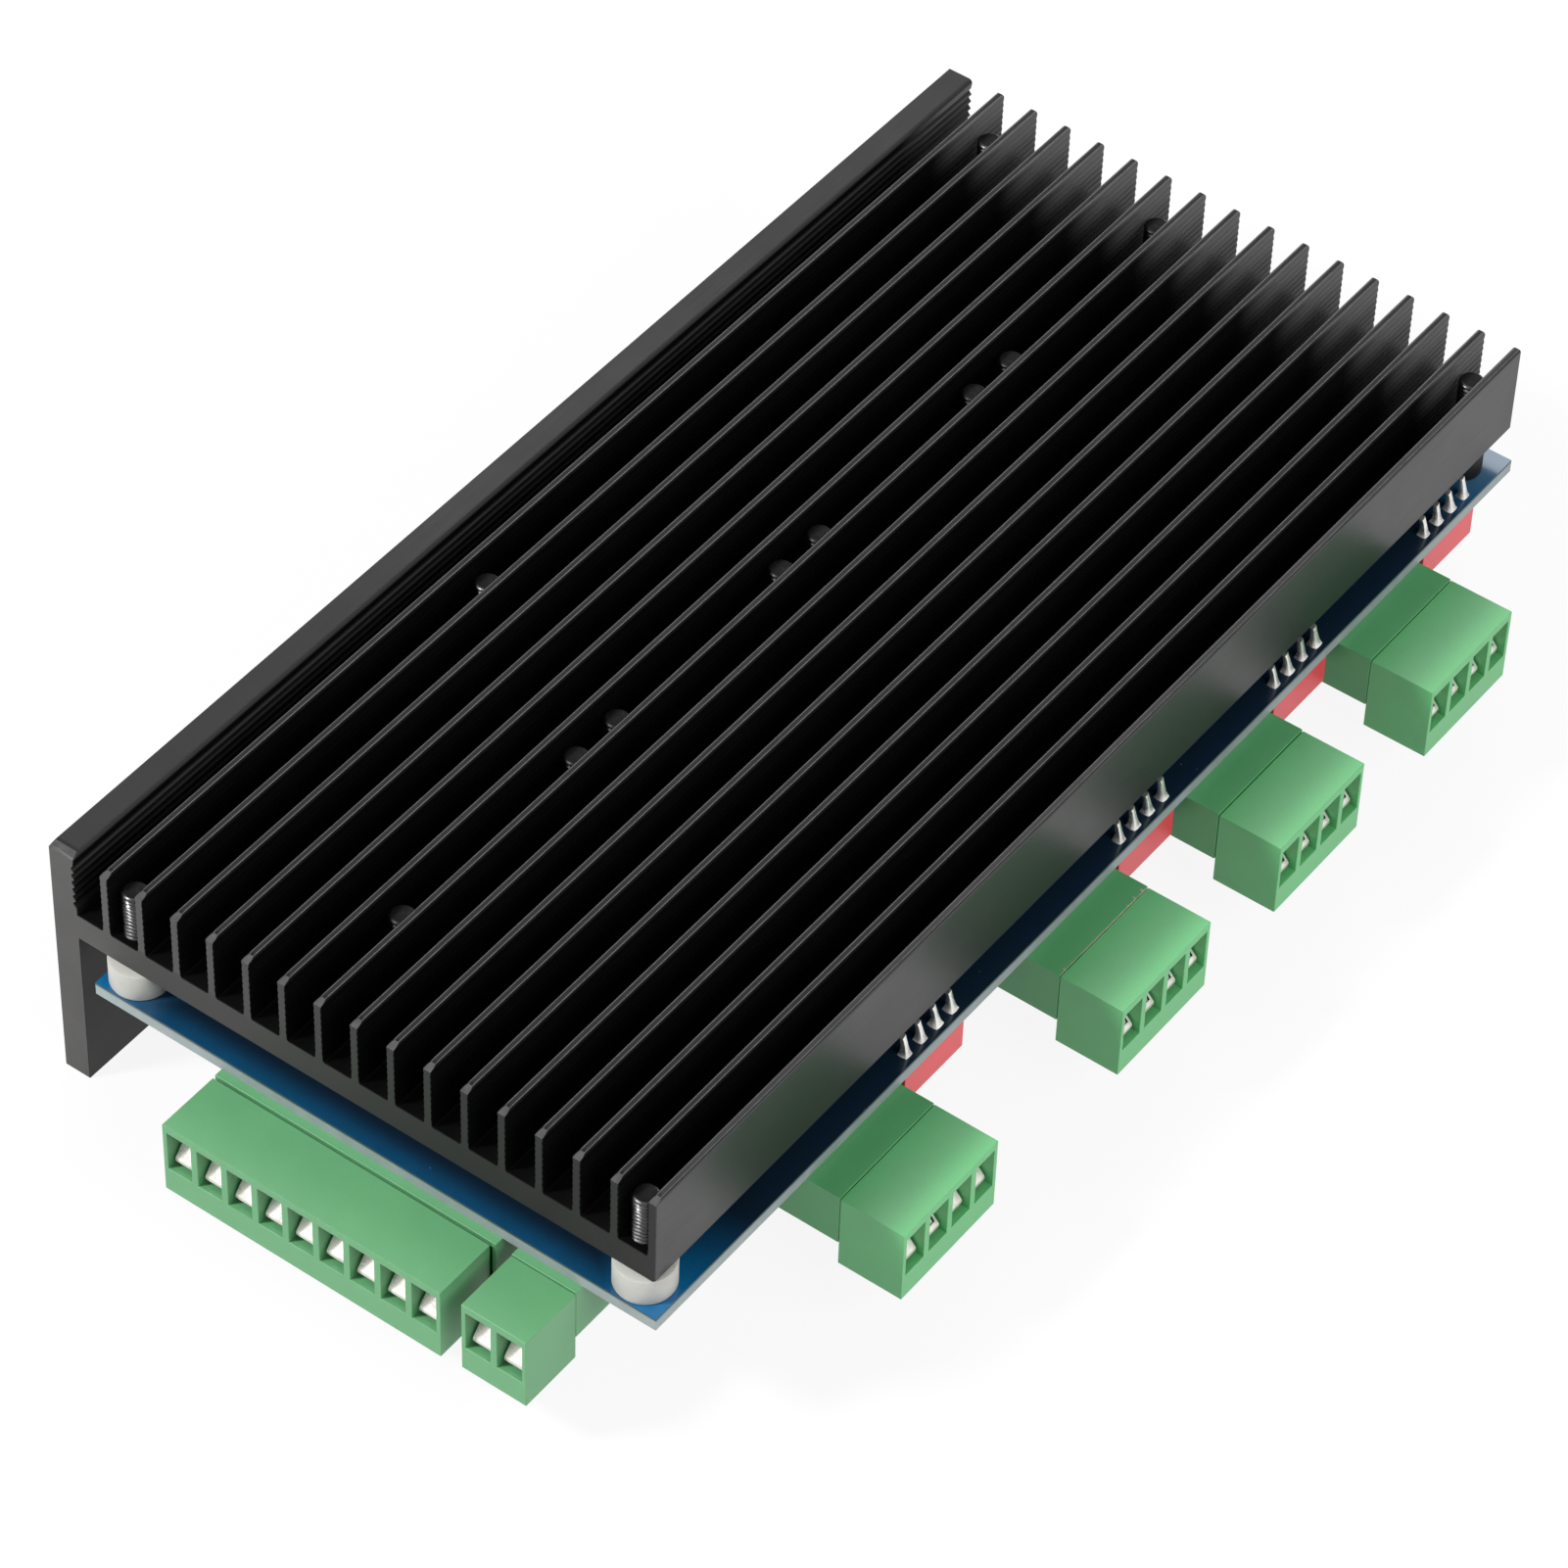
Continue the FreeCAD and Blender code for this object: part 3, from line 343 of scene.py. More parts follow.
def spread(tree, source, low, high, to_low=0.0, to_high=1.0):
    """Source from low to high becomes to_low to to_high, eased at both ends."""
    given = {"Value": source, "From Min": low, "From Max": high, "To Min": to_low, "To Max": to_high}
    return step(tree, "MapRange", "Result", given, interpolation_type="SMOOTHSTEP")


def mixed(tree, amount, first, second):
    """First colour where amount is 0, second where it is 1."""
    given = {0: amount, 6: first, 7: second}
    return step(tree, "Mix", 2, given, data_type="RGBA")


def stretched(tree, stretch):
    """The piece's own coordinates, stretched."""
    where = step(tree, "TexCoord", "Object")
    return step(tree, "Mapping", "Vector", {"Vector": where, "Scale": stretch})


def noise(tree, per_mm, stretch=(1, 1, 1), detail=3.0, rough=0.5):
    """Cloudy pattern with this many cells in a mm."""
    given = {"Vector": stretched(tree, stretch), "Scale": per_mm / MM, "Detail": detail, "Roughness": rough}
    return step(tree, "TexNoise", "Fac", given)


def edge_mask(tree, reach):
    """1 on edges and corners, 0 on flats, from the normal that an eased edge would have."""
    eased = step(tree, "Bevel", "Normal", {"Radius": reach * MM}, samples=4)
    true = step(tree, "NewGeometry", "Normal")
    same = step(tree, "VectorMath", "Value", {0: eased, 1: true}, operation="DOT_PRODUCT")
    return spread(tree, same, 0.97, 0.75)


def band(tree, axis, ends, full=1.0):
    """Along one of the piece's own axes: 0 at the first end, full at the second, both in mm."""
    where = step(tree, "SeparateXYZ", axis, {"Vector": step(tree, "TexCoord", "Object")})
    return spread(tree, where, ends[0] * MM, ends[1] * MM, 0.0, full)


def colour_so_far(material):
    """A finish's node tree, the socket that takes its colour and the colour that it has so far."""
    tree = material.node_tree
    socket = tree.nodes["Principled BSDF"].inputs["Base Color"]
    return tree, socket, socket.links[0].from_socket


def shade(rgb, by):
    return tuple(min(1.0, c * by) for c in rgb[:3]) + (1.0,)


def finish(name, rgb, roughness, metal=0.0, mottle=0.12, mottle_per_mm=0.12, grain_per_mm=3.0, grain=0.1,
           bump=0.01, stretch=(1, 1, 1), wear=0.0, wear_rgb=(0.5, 0.5, 0.5), wear_reach=0.2, coat=0.0,
           coat_roughness=0.1, soft=0.0, specular=0.5):
    """A moulded, plated or anodised surface: cloudy colour, fine grain, uneven gloss, worn edges."""
    material = bpy.data.materials.new(name)
    material.use_nodes = True
    tree = material.node_tree
    shader = tree.nodes["Principled BSDF"]
    clouds = noise(tree, mottle_per_mm, detail=4.0, rough=0.6)
    fine = noise(tree, grain_per_mm, stretch, detail=5.0, rough=0.65)
    both = maths(tree, "ADD", maths(tree, "MULTIPLY", clouds, 0.6), maths(tree, "MULTIPLY", fine, 0.4))
    colour = mixed(tree, spread(tree, both, 0.3, 0.7), shade(rgb, 1 - mottle), shade(rgb, 1 + mottle))
    rough = spread(tree, both, 0.3, 0.7, roughness * (1 - grain), min(1.0, roughness * (1 + grain)))
    if wear:
        chips = spread(tree, noise(tree, 1.3, detail=6.0, rough=0.7), 0.42, 0.62)
        worn = maths(tree, "MULTIPLY", maths(tree, "MULTIPLY", edge_mask(tree, wear_reach), chips), wear)
        colour = mixed(tree, worn, colour, tuple(wear_rgb) + (1.0,))
    tree.links.new(colour, shader.inputs["Base Color"])
    tree.links.new(rough, shader.inputs["Roughness"])
    relief = step(tree, "Bump", "Normal", {"Strength": 0.6, "Distance": bump * MM, "Height": fine})
    tree.links.new(relief, shader.inputs["Normal"])
    shader.inputs["Metallic"].default_value = metal
    shader.inputs["Specular IOR Level"].default_value = specular
    shader.inputs["Coat Weight"].default_value = coat
    shader.inputs["Coat Roughness"].default_value = coat_roughness
    if soft:
        shader.inputs["Subsurface Weight"].default_value = soft
        shader.inputs["Subsurface Radius"].default_value = (0.6, 0.6, 0.5)
        shader.inputs["Subsurface Scale"].default_value = MM
    return material


SIDE_FACE = finish("anodised_side", (0.014, 0.0125, 0.014), 0.4, metal=0.35, specular=0.85, mottle=0.2,
                   mottle_per_mm=0.04, grain_per_mm=6.0, grain=0.18, bump=0.012, stretch=(1, 0.02, 1),
                   wear=0.8, wear_rgb=(0.11, 0.11, 0.115), wear_reach=0.12)
ANODISED = finish("black_anodised", (0.011, 0.011, 0.012), 0.46, metal=0.2, specular=0.24, mottle=0.2,
                  mottle_per_mm=0.04, grain_per_mm=6.0, grain=0.18, bump=0.012, stretch=(1, 0.02, 1),
                  wear=0.8, wear_rgb=(0.11, 0.11, 0.115), wear_reach=0.12)
RUBBED_EDGE = finish("rubbed_tip_edge", (0.052, 0.052, 0.054), 0.42, metal=0.3, mottle=0.35,
                     mottle_per_mm=0.9, grain_per_mm=6.0, grain=0.25, bump=0.02, stretch=(1, 0.15, 1))
FIN_TIP = finish("anodised_tip", (0.007, 0.007, 0.0074), 0.48, metal=0.1, mottle=0.25,
                 mottle_per_mm=0.3, grain_per_mm=7.0, grain=0.2, bump=0.015, stretch=(1, 0.1, 1),
                 specular=0.13)
FLANK = finish("deep_black_flank", (0.003, 0.003, 0.0032), 0.4, mottle=0.2, mottle_per_mm=0.04,
               grain_per_mm=6.0, grain=0.15, bump=0.006, stretch=(1, 0.02, 1), specular=0.06)
SAWN_END = finish("sawn_and_anodised_end", (0.082, 0.08, 0.079), 0.55, mottle=0.18, specular=0.14,
                  grain_per_mm=7.0, grain=0.2, bump=0.02, stretch=(0.15, 1, 1), wear=0.7,
                  wear_rgb=(0.3, 0.3, 0.3), wear_reach=0.12)
FILED_BEVEL = finish("filed_bevel", (0.045, 0.045, 0.045), 0.5, metal=0.2, mottle=0.3,
                     mottle_per_mm=0.8, grain_per_mm=9.0, grain=0.25, bump=0.02, stretch=(1, 0.2, 0.2))
BOARD_EDGE = finish("glass_fibre_edge", (0.27, 0.315, 0.315), 0.55, mottle=0.12, mottle_per_mm=0.3,
                    grain_per_mm=7.0, grain=0.2, bump=0.015, stretch=(0.3, 0.3, 2))
BOARD_BLUE = finish("blue_solder_mask", (0.004, 0.11, 0.26), 0.22, mottle=0.12, grain_per_mm=2.0,
                    bump=0.004, coat=0.3, coat_roughness=0.12)
NYLON = finish("natural_nylon", (0.44, 0.44, 0.41), 0.42, mottle=0.05, grain_per_mm=4.0, bump=0.01,
               soft=0.25)
SCREW = finish("plated_screw", (0.06, 0.06, 0.061), 0.34, metal=1.0, mottle=0.25, mottle_per_mm=0.5,
               grain_per_mm=5.0, grain=0.3, bump=0.008)
# Painted shade: the near black end caps of the screw tips that stand in the fins' channels.
SCREW_TIP_SHADE = finish("screw_tip_painted_shade", (0.006, 0.006, 0.0063), 0.5, mottle=0.3, mottle_per_mm=1.5,
                   grain_per_mm=6.0, grain=0.3, bump=0.02, specular=0.08)
DARK_SCREW = finish("blackened_screw", (0.006, 0.006, 0.0063), 0.4, metal=0.15, specular=0.2,
                    mottle=0.2, mottle_per_mm=0.5, grain_per_mm=5.0, grain=0.3, bump=0.008)
FLASH = finish("plated_flash", (0.5, 0.43, 0.34), 0.4, metal=0.5, mottle=0.3, mottle_per_mm=1.5,
               grain_per_mm=6.0, bump=0.02)
DULL_NICKEL = finish("dull_clamp", (0.5, 0.44, 0.39), 0.34, metal=0.7, mottle=0.2, mottle_per_mm=0.9,
                     grain_per_mm=7.0, grain=0.3, bump=0.01)
FRONT_GREEN = finish("light_green_polyamide", (0.105, 0.315, 0.14), 0.42, mottle=0.05,
                     mottle_per_mm=0.1, grain_per_mm=5.0, grain=0.12, bump=0.01, wear=0.35,
                     wear_rgb=(0.35, 0.66, 0.38), wear_reach=0.15, soft=0.08)
BARE_CAN = finish("bare_aluminium_can", (0.62, 0.62, 0.62), 0.3, metal=1.0, mottle=0.1,
                  grain_per_mm=5.0, bump=0.01)
SLEEVE_STRIPE = finish("printed_sleeve_stripe", (0.42, 0.42, 0.42), 0.35, mottle=0.08, grain_per_mm=3.0,
                       bump=0.008, coat=0.3)
TIN = finish("tinned_lead", (0.84, 0.82, 0.79), 0.32, metal=0.9, mottle=0.15, mottle_per_mm=0.9,
             grain_per_mm=6.0, grain=0.35, bump=0.01)
NICKEL = finish("nickel_clamp", (0.82, 0.77, 0.72), 0.34, metal=0.55, mottle=0.12, mottle_per_mm=0.7,
                grain_per_mm=8.0, grain=0.3, bump=0.008, stretch=(1, 1, 0.2))
GREEN = finish("green_polyamide", (0.105, 0.42, 0.155), 0.38, mottle=0.06, mottle_per_mm=0.1,
               grain_per_mm=5.0, grain=0.12, bump=0.01, wear=0.35, wear_rgb=(0.3, 0.62, 0.34),
               wear_reach=0.2, soft=0.08)
HEADER_GREEN = finish("green_header", (0.075, 0.31, 0.115), 0.42, mottle=0.06, mottle_per_mm=0.1,
                      grain_per_mm=5.0, grain=0.12, bump=0.01, wear=0.35, wear_rgb=(0.3, 0.62, 0.34),
                      wear_reach=0.2, soft=0.08)
RED = finish("red_moulding", (0.72, 0.06, 0.075), 0.38, mottle=0.06, grain_per_mm=5.0, bump=0.008,
             soft=0.05)
WHITE_SLIDER = finish("white_slider", (0.75, 0.75, 0.72), 0.4, mottle=0.04, grain_per_mm=5.0,
                      bump=0.006)
EPOXY = finish("black_epoxy", (0.018, 0.018, 0.02), 0.5, mottle=0.2, grain_per_mm=9.0, grain=0.15,
               bump=0.015)
STEEL = finish("tinned_steel", (0.62, 0.61, 0.58), 0.3, metal=1.0, mottle=0.12, grain_per_mm=6.0,
               grain=0.25, bump=0.01, stretch=(0.2, 1, 1))
INSERT = finish("black_insulator", (0.02, 0.02, 0.02), 0.45, mottle=0.15, grain_per_mm=5.0, bump=0.01)
SLEEVE = finish("capacitor_sleeve", (0.012, 0.012, 0.02), 0.28, mottle=0.2, grain_per_mm=3.0,
                bump=0.008, coat=0.3)
CERAMIC = finish("resistor_glaze", (0.02, 0.02, 0.022), 0.35, mottle=0.2, grain_per_mm=6.0, bump=0.01)

# Painted shade: the navy that the board's mask takes under the heatsink.
NAVY_PAINTED_SHADE = (0.005, 0.015, 0.03, 1.0)
PALE_MASK = (0.12, 0.19, 0.24, 1.0)
DUST = (0.35, 0.42, 0.45, 1.0)
LIP_DARK = (0.02, 0.045, 0.06, 1.0)
# Painted shade on the sawn end.
SAWN_PAINTED_SHADE = (0.012, 0.012, 0.012, 1.0)
# Painted light on the fins' sides near the far end.
FLANK_PAINTED_LIGHT = (0.095, 0.095, 0.095, 1.0)


def paint_mask_shade_and_light():
    """Solder mask with specks of dust. Painted shade makes it navy under the heatsink, and painted light
    brings part of its plain blue back along the near edge and all of it at the corners. It is paler towards
    the far corner. Where it is lighter is a guess that may stand for light."""
    tree, socket, plain = colour_so_far(BOARD_BLUE)
    sides = maths(tree, "MAXIMUM", band(tree, "X", MASK_RIGHT), band(tree, "X", MASK_LEFT))
    ends = maths(tree, "MAXIMUM", band(tree, "Y", MASK_NEAR_END), band(tree, "Y", MASK_FAR_END))
    corners = maths(tree, "MULTIPLY", sides, ends)
    near_edge_light = maths(tree, "MULTIPLY", band(tree, "Y", MASK_NEAR_EDGE), 0.4)
    # Painted shade: navy under the heatsink; painted light brings the plain blue back at the near edge and
    # corners.
    colour = mixed(tree, maths(tree, "MAXIMUM", near_edge_light, corners), NAVY_PAINTED_SHADE, plain)
    far_corner = maths(tree, "MULTIPLY", band(tree, "X", FAR_CORNER_X), band(tree, "Y", FAR_CORNER_Y))
    colour = mixed(tree, maths(tree, "MULTIPLY", far_corner, 0.45), colour, PALE_MASK)
    specks = spread(tree, noise(tree, 1.6, detail=1.0), 0.80, 0.84)
    tree.links.new(mixed(tree, specks, colour, DUST), socket)


def mask_lip():
    """The uppermost part of the board's cut edge is darker, as if mask had run over it: a guess."""
    tree, socket, plain = colour_so_far(BOARD_EDGE)
    tree.links.new(mixed(tree, band(tree, "Z", MASK_LIP), plain, LIP_DARK), socket)


def paint_sawn_end_shade():
    """Painted shade on the sawn end: darker on the base plate and towards the right: a guess that may
    stand for shade.
    """
    tree, socket, plain = colour_so_far(SAWN_END)
    right = band(tree, "X", SAWN_RIGHT, 0.85)
    base = maths(tree, "MULTIPLY", band(tree, "Z", SAWN_BASE_Z), band(tree, "X", SAWN_BASE_X))
    deep = maths(tree, "MAXIMUM", right, maths(tree, "MULTIPLY", base, 0.5))
    tree.links.new(mixed(tree, deep, plain, SAWN_PAINTED_SHADE), socket)


def paint_far_flank_light():
    """Painted light on the fins' sides: grey over the last stretch before the far end, which shows as a band
    from behind. The fins' sides are grey over the last stretch before the far end: a guess that may stand
    for light, and that shows as a band from behind."""
    tree, socket, plain = colour_so_far(FLANK)
    tree.links.new(mixed(tree, band(tree, "Y", FAR_FLANK_LIGHT_BAND), plain, FLANK_PAINTED_LIGHT), socket)


paint_mask_shade_and_light()
mask_lip()
paint_sawn_end_shade()
paint_far_flank_light()


# ---------------------------------------------------------------- heatsink

def flank_levels():
    """Heights up a fin's side and how far each lies in. In every groove the depth follows a squared sine, and
    at the tip height and inset follow a quarter circle."""
    turn = np.linspace(0, 1, CURVE_STEPS, endpoint=False)
    groove = np.arange(GROOVES)[:, None] + turn[None, :]
    heights = (BASE_TOP + GROOVE_START + groove * GROOVE_PITCH).ravel()
    inset = (GROOVE_DEPTH * np.sin(math.pi * np.broadcast_to(turn, groove.shape)) ** 2).ravel()
    bend = np.linspace(0, math.pi / 2, TIP_STEPS)
    tip = FIN_TOP - TIP_ROUND * (1 - np.sin(bend))
    tip_inset = TIP_ROUND * (1 - np.cos(bend))
    foot = np.array([BASE_TOP, BASE_TOP + 0.1, BASE_TOP + 0.25])
    foot_inset = np.array([-0.25, -0.08, 0.0])
    return np.concatenate([foot, heights, tip]), np.concatenate([foot_inset, inset, tip_inset])


def make_heatsink():
    """One section carried along Y. Its outline runs along the underside, up the flush right side and down and
    up each fin to the wall. At the near end a point lies further in by its height over the filed bevel's
    start, times the bevel's slope. The wall's teeth follow a sine to the power 1.5."""
    heights, inset = flank_levels()
    levels = len(heights)
    outline = [(WALL_OUTER, 0.0), (WALL_INNER, 0.0), (WALL_INNER, BASE_BOTTOM),
               (SINK_RIGHT - SIDE_BEVEL, BASE_BOTTOM), (SINK_RIGHT, BASE_BOTTOM + SIDE_BEVEL)]
    ladders = []
    outer_inset = np.concatenate([np.zeros(levels - TIP_STEPS), inset[-TIP_STEPS:]])
    for fin in range(FIN_COUNT - 1, -1, -1):
        middle = FIRST_FIN_X + fin * FIN_PITCH
        flush = fin == FIN_COUNT - 1
        right_inset = outer_inset if flush else inset
        start = len(outline)
        outline += list(zip(middle + FIN_HALF - right_inset, heights))
        outline += list(zip(middle - FIN_HALF + inset[::-1], heights[::-1]))
        ladders.append(start)
    tooth = np.linspace(0, 1, CURVE_STEPS, endpoint=False)
    wall_heights = (BASE_TOP + TOOTH_START + np.arange(TEETH)[:, None] + tooth[None, :]).ravel()
    teeth = np.sin(math.pi * np.broadcast_to(tooth, (TEETH, CURVE_STEPS)))
    wall_inset = (TOOTH_DEPTH * teeth ** 1.5).ravel()
    bend = np.linspace(0, math.pi / 2, CURVE_STEPS)
    wall_heights = np.concatenate([[BASE_TOP], wall_heights, WALL_TOP - WALL_ROUND * (1 - np.sin(bend))])
    wall_inset = np.concatenate([[0.0], wall_inset, WALL_ROUND * (1 - np.cos(bend))])
    wall_start = len(outline)
    outline += list(zip(WALL_INNER - wall_inset, wall_heights))
    outer_round = WALL_OUTER_ROUND * (1 - np.cos(bend))
    outer_curve = np.concatenate([np.zeros(len(wall_heights) - CURVE_STEPS), outer_round])
    outline += list(zip((WALL_OUTER + outer_curve)[::-1], wall_heights[::-1]))
    outline.append((WALL_OUTER, BASE_BOTTOM))
    outline = np.array(outline)
    count = len(outline)
    ahead = np.roll(outline, -1, axis=0) - outline
    ahead /= np.linalg.norm(ahead, axis=1)[:, None] + 1e-9
    run = ahead + np.roll(ahead, 1, axis=0)
    out = np.stack([run[:, 1], -run[:, 0]], axis=1)
    out /= np.linalg.norm(out, axis=1)[:, None] + 1e-9
    eased = outline - DEBURR * out
    bevel_start = FIN_TOP - NEAR_BEVEL_DEPTH
    bevel_slope = NEAR_BEVEL_LENGTH / NEAR_BEVEL_DEPTH

    def ring(section, setback, sign):
        reach = SINK_HALF_LENGTH - setback + 0 * section[:, 1]
        if sign < 0:
            reach -= np.maximum(0, section[:, 1] - bevel_start) * bevel_slope
        return np.stack([section[:, 0], sign * reach, section[:, 1]], axis=1)

    rings = [ring(eased, 0, -1), ring(outline, DEBURR, -1), ring(outline, DEBURR, 1), ring(eased, 0, 1)]
    points = np.concatenate(rings)
    faces = grid_faces(4, count)[:, ::-1].tolist()
    side = np.roll(outline, -1, axis=0)
    upright = np.abs(side[:, 1] - outline[:, 1]) > np.abs(side[:, 0] - outline[:, 0])
    middle_x = (side[:, 0] + outline[:, 0]) / 2
    middle_z = (side[:, 1] + outline[:, 1]) / 2
    rub_start = FIN_TOP - RUB_DROP
    flat_start = FIN_TOP - TIP_FLAT
    channel = (middle_z > BASE_TOP) & (middle_z < rub_start)
    channel &= (middle_x < SINK_RIGHT - 0.2) & (middle_x > WALL_INNER - TOOTH_DEPTH - 0.1)
    channel_floor = (middle_z > BASE_TOP - 0.1) & (middle_z < BASE_TOP + 0.3) & ~upright
    channel |= channel_floor & (middle_x > WALL_INNER)
    lit_tooth = channel & (middle_x < WALL_INNER + 0.01) & (out[:, 1] > 0.25)
    rubbed = (middle_z > rub_start) & (middle_z < flat_start) & (middle_x > WALL_INNER)
    tips = (middle_z > flat_start) & (middle_x > WALL_INNER) & (middle_x < SINK_RIGHT - 1.5)
    right_face = middle_x > SINK_RIGHT - 0.06
    marks = np.select([lit_tooth, channel, rubbed, tips, right_face], [0, 3, 4, 5, 6], 0)
    marks = np.tile(marks, 3).tolist()
    caps = []
    for start, rungs in [(s, levels) for s in ladders] + [(wall_start, len(wall_heights))]:
        right = start + np.arange(rungs - 1)
        left = start + 2 * rungs - 1 - np.arange(rungs - 1)
        caps += np.stack([right, right + 1, left - 1, left], axis=1).tolist()
    base = [count - 1, 2, 3, 4]
    for start in ladders:
        base += [start, start + 2 * levels - 1]
    base += [wall_start, wall_start + 2 * len(wall_heights) - 1]
    caps += [base, [0, 1, 2, count - 1]]
    for cap in caps:
        faces.append(cap)
        marks.append(2 if outline[cap, 1].mean() > bevel_start else 1)
        faces.append([i + 3 * count for i in cap[::-1]])
        marks.append(1)
    finishes = [ANODISED, SAWN_END, FILED_BEVEL, FLANK, RUBBED_EDGE, FIN_TIP, SIDE_FACE]
    made = piece("heatsink_extrusion", points, faces, finishes, marks, smooth=False)
    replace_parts(made, "heatsink")


# ---------------------------------------------------------------- fasteners

def threaded(x, y, bottom, top, radius, sides=28):
    """A threaded bar: its radius is a triangle wave of height less turn. The thread runs out under a flat cut
    tip with a small chamfer."""
    per_turn = 6
    chamfer = 0.22
    runout_length = 0.25
    rows = int((top - bottom) / SCREW_PITCH * per_turn)
    z = np.linspace(bottom, top - chamfer, rows)[:, None]
    angle = (np.arange(sides) / sides * ROUND)[None, :]
    phase = (z / SCREW_PITCH - angle / ROUND) % 1.0
    ridge = np.clip(1.3 * (1 - np.abs(2 * phase - 1)), 0, 1)
    runout = np.clip((top - chamfer - z) / runout_length, 0, 1)
    r = radius - THREAD_DEPTH * (1 - ridge) * runout
    shaft = np.stack([x + r * np.cos(angle), y + r * np.sin(angle), z + 0 * r], axis=-1)
    tip_radii = radius - np.array([0.04, chamfer, chamfer + 0.06])
    tip = turned(tip_radii, np.array([top - chamfer + 0.06, top - 0.02, top]), sides) + np.array([x, y, 0])
    return np.concatenate([shaft, tip])


def pan_head(x, y, seat, radius, height, sides=32):
    """A domed head hanging below its seat. Points near either axis and not far from the middle are pressed
    in, which makes the cross."""
    arm_half, arm_fall, cross_reach, cross_fall, cross_depth = 0.42, 0.14, 0.58, 0.25, 0.75
    out = np.array([1.0, 1.0, 0.97, 0.88, 0.74, 0.6, 0.5, 0.4, 0.3, 0.2, 0.1])
    drop = np.array([0.0, 0.45, 0.72, 0.9, 0.97, 1.0, 1.0, 1.0, 1.0, 1.0, 1.0])
    head = turned(out * radius, -drop * height, sides)
    arm = np.minimum(np.abs(head[..., 0]), np.abs(head[..., 1]))
    reach = np.hypot(head[..., 0], head[..., 1])
    cross = np.clip((arm_half - arm) / arm_fall, 0, 1)
    cross = cross * np.clip((radius * cross_reach - reach) / cross_fall, 0, 1)
    head[..., 2] += cross_depth * cross * (drop >= 0.97)[:, None]
    return head + np.array([x, y, seat])


def make_screws():
    for node, head in (("board_screws", True), ("chip_screws", False)):
        batch = Batch()
        for low, high in places(node):
            x, y = (low[:2] + high[:2]) / 2
            batch.grid(threaded(x, y, BASE_TOP - 1.0, high[2], SCREW_RADIUS))
            # The tip's end cap takes the painted shade.
            batch.marks[-1] = 1
            core = turned([CORE_RADIUS, CORE_RADIUS], [low[2] + 1.5, BASE_TOP - 0.9])
            batch.grid(core + np.array([x, y, 0]))
            head_radius = (high[0] - low[0]) / 2
            batch.grid(pan_head(x, y, low[2] + HEAD_HEIGHT, head_radius, HEAD_HEIGHT), flip=True)
        finishes = [SCREW if head else DARK_SCREW, SCREW_TIP_SHADE]
        made = batch.make(node + "_threaded", finishes)
        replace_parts(made, node)


def sleeve(batch, low, high, rim):
    """A tube with eased rims: its outer wall down, its inner wall up."""
    x, y = (low[:2] + high[:2]) / 2
    r = (high[0] - low[0]) / 2
    bottom, top = low[2], high[2]
    mouth, mouth_depth = 1.8, 0.3
    radii = [BORE_RADIUS, mouth, r - rim, r - 0.3 * rim, r,
             r, r - 0.3 * rim, r - rim, mouth, BORE_RADIUS, BORE_RADIUS]
    levels = [top - mouth_depth, top, top, top - 0.3 * rim, top - rim,
              bottom + rim, bottom + 0.3 * rim, bottom, bottom, bottom + mouth_depth, top - mouth_depth]
    batch.grid(turned(radii, levels, 56) + np.array([x, y, 0]), capped=False)


def make_spacers():
    """White nylon tubes under the near and middle screws, slim dark metal ones under the back pair."""
    nylon = Batch()
    metal = Batch()
    for low, high in places("spacers"):
        white = high[0] - low[0] > WHITE_SPACER_WIDTH
        sleeve(nylon if white else metal, low, high, 0.22 if white else 0.12)
    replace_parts(nylon.make("nylon_spacers", [NYLON]), "spacers")
    metal.make("back_sleeves", [DARK_SCREW])


# ---------------------------------------------------------------- board

def make_board():
    """The board with its pale cut edge; its faces that look sideways are bare glass fibre."""
    dressed("circuit_board", [BOARD_BLUE, BOARD_EDGE], ease=0.04, steps=1,
            choose=lambda normal, middle: np.abs(normal[:, 2]) < 0.5)


def soldered(batch, x, y, bottom, top, lean, flare, sides=16):
    """A lead that rises through the board and leans over: its centre shifts with the square of its height,
    and its half width swells by flare * exp(-height / SOLDER_FALL) into the solder. Its tip is cut aslant."""
    cone = BOARD_TOP + np.array([0.0, 0.05, 0.12, 0.22, 0.35, 0.5, 0.7, 0.95])
    stem = np.linspace(BOARD_TOP + 1.2, top - TIP_SLANT, 5)
    z = np.concatenate([[bottom, BOARD_TOP - 0.05], cone, stem])
    up = np.maximum(0, z - BOARD_TOP)
    swell = np.where(z < BOARD_TOP - 0.01, 0.0, flare * np.exp(-up / SOLDER_FALL))
    share = (up / (top - BOARD_TOP)) ** 2
    angle = np.arange(sides) / sides * ROUND
    rounded = 1.0 / np.maximum(np.abs(np.cos(angle)), np.abs(np.sin(angle))) ** 0.6
    cos, sin = np.cos(angle) * rounded, np.sin(angle) * rounded
    px = x + (lean[0] * share)[:, None] + (LEAD_HALF + swell)[:, None] * cos
    py = y + (lean[1] * share)[:, None] + (LEAD_HALF + swell)[:, None] * sin
    pz = np.repeat(z[:, None], sides, axis=1)
    pz[-1] += TIP_SLANT * sin
    batch.grid(np.stack([px, py, pz], axis=-1))


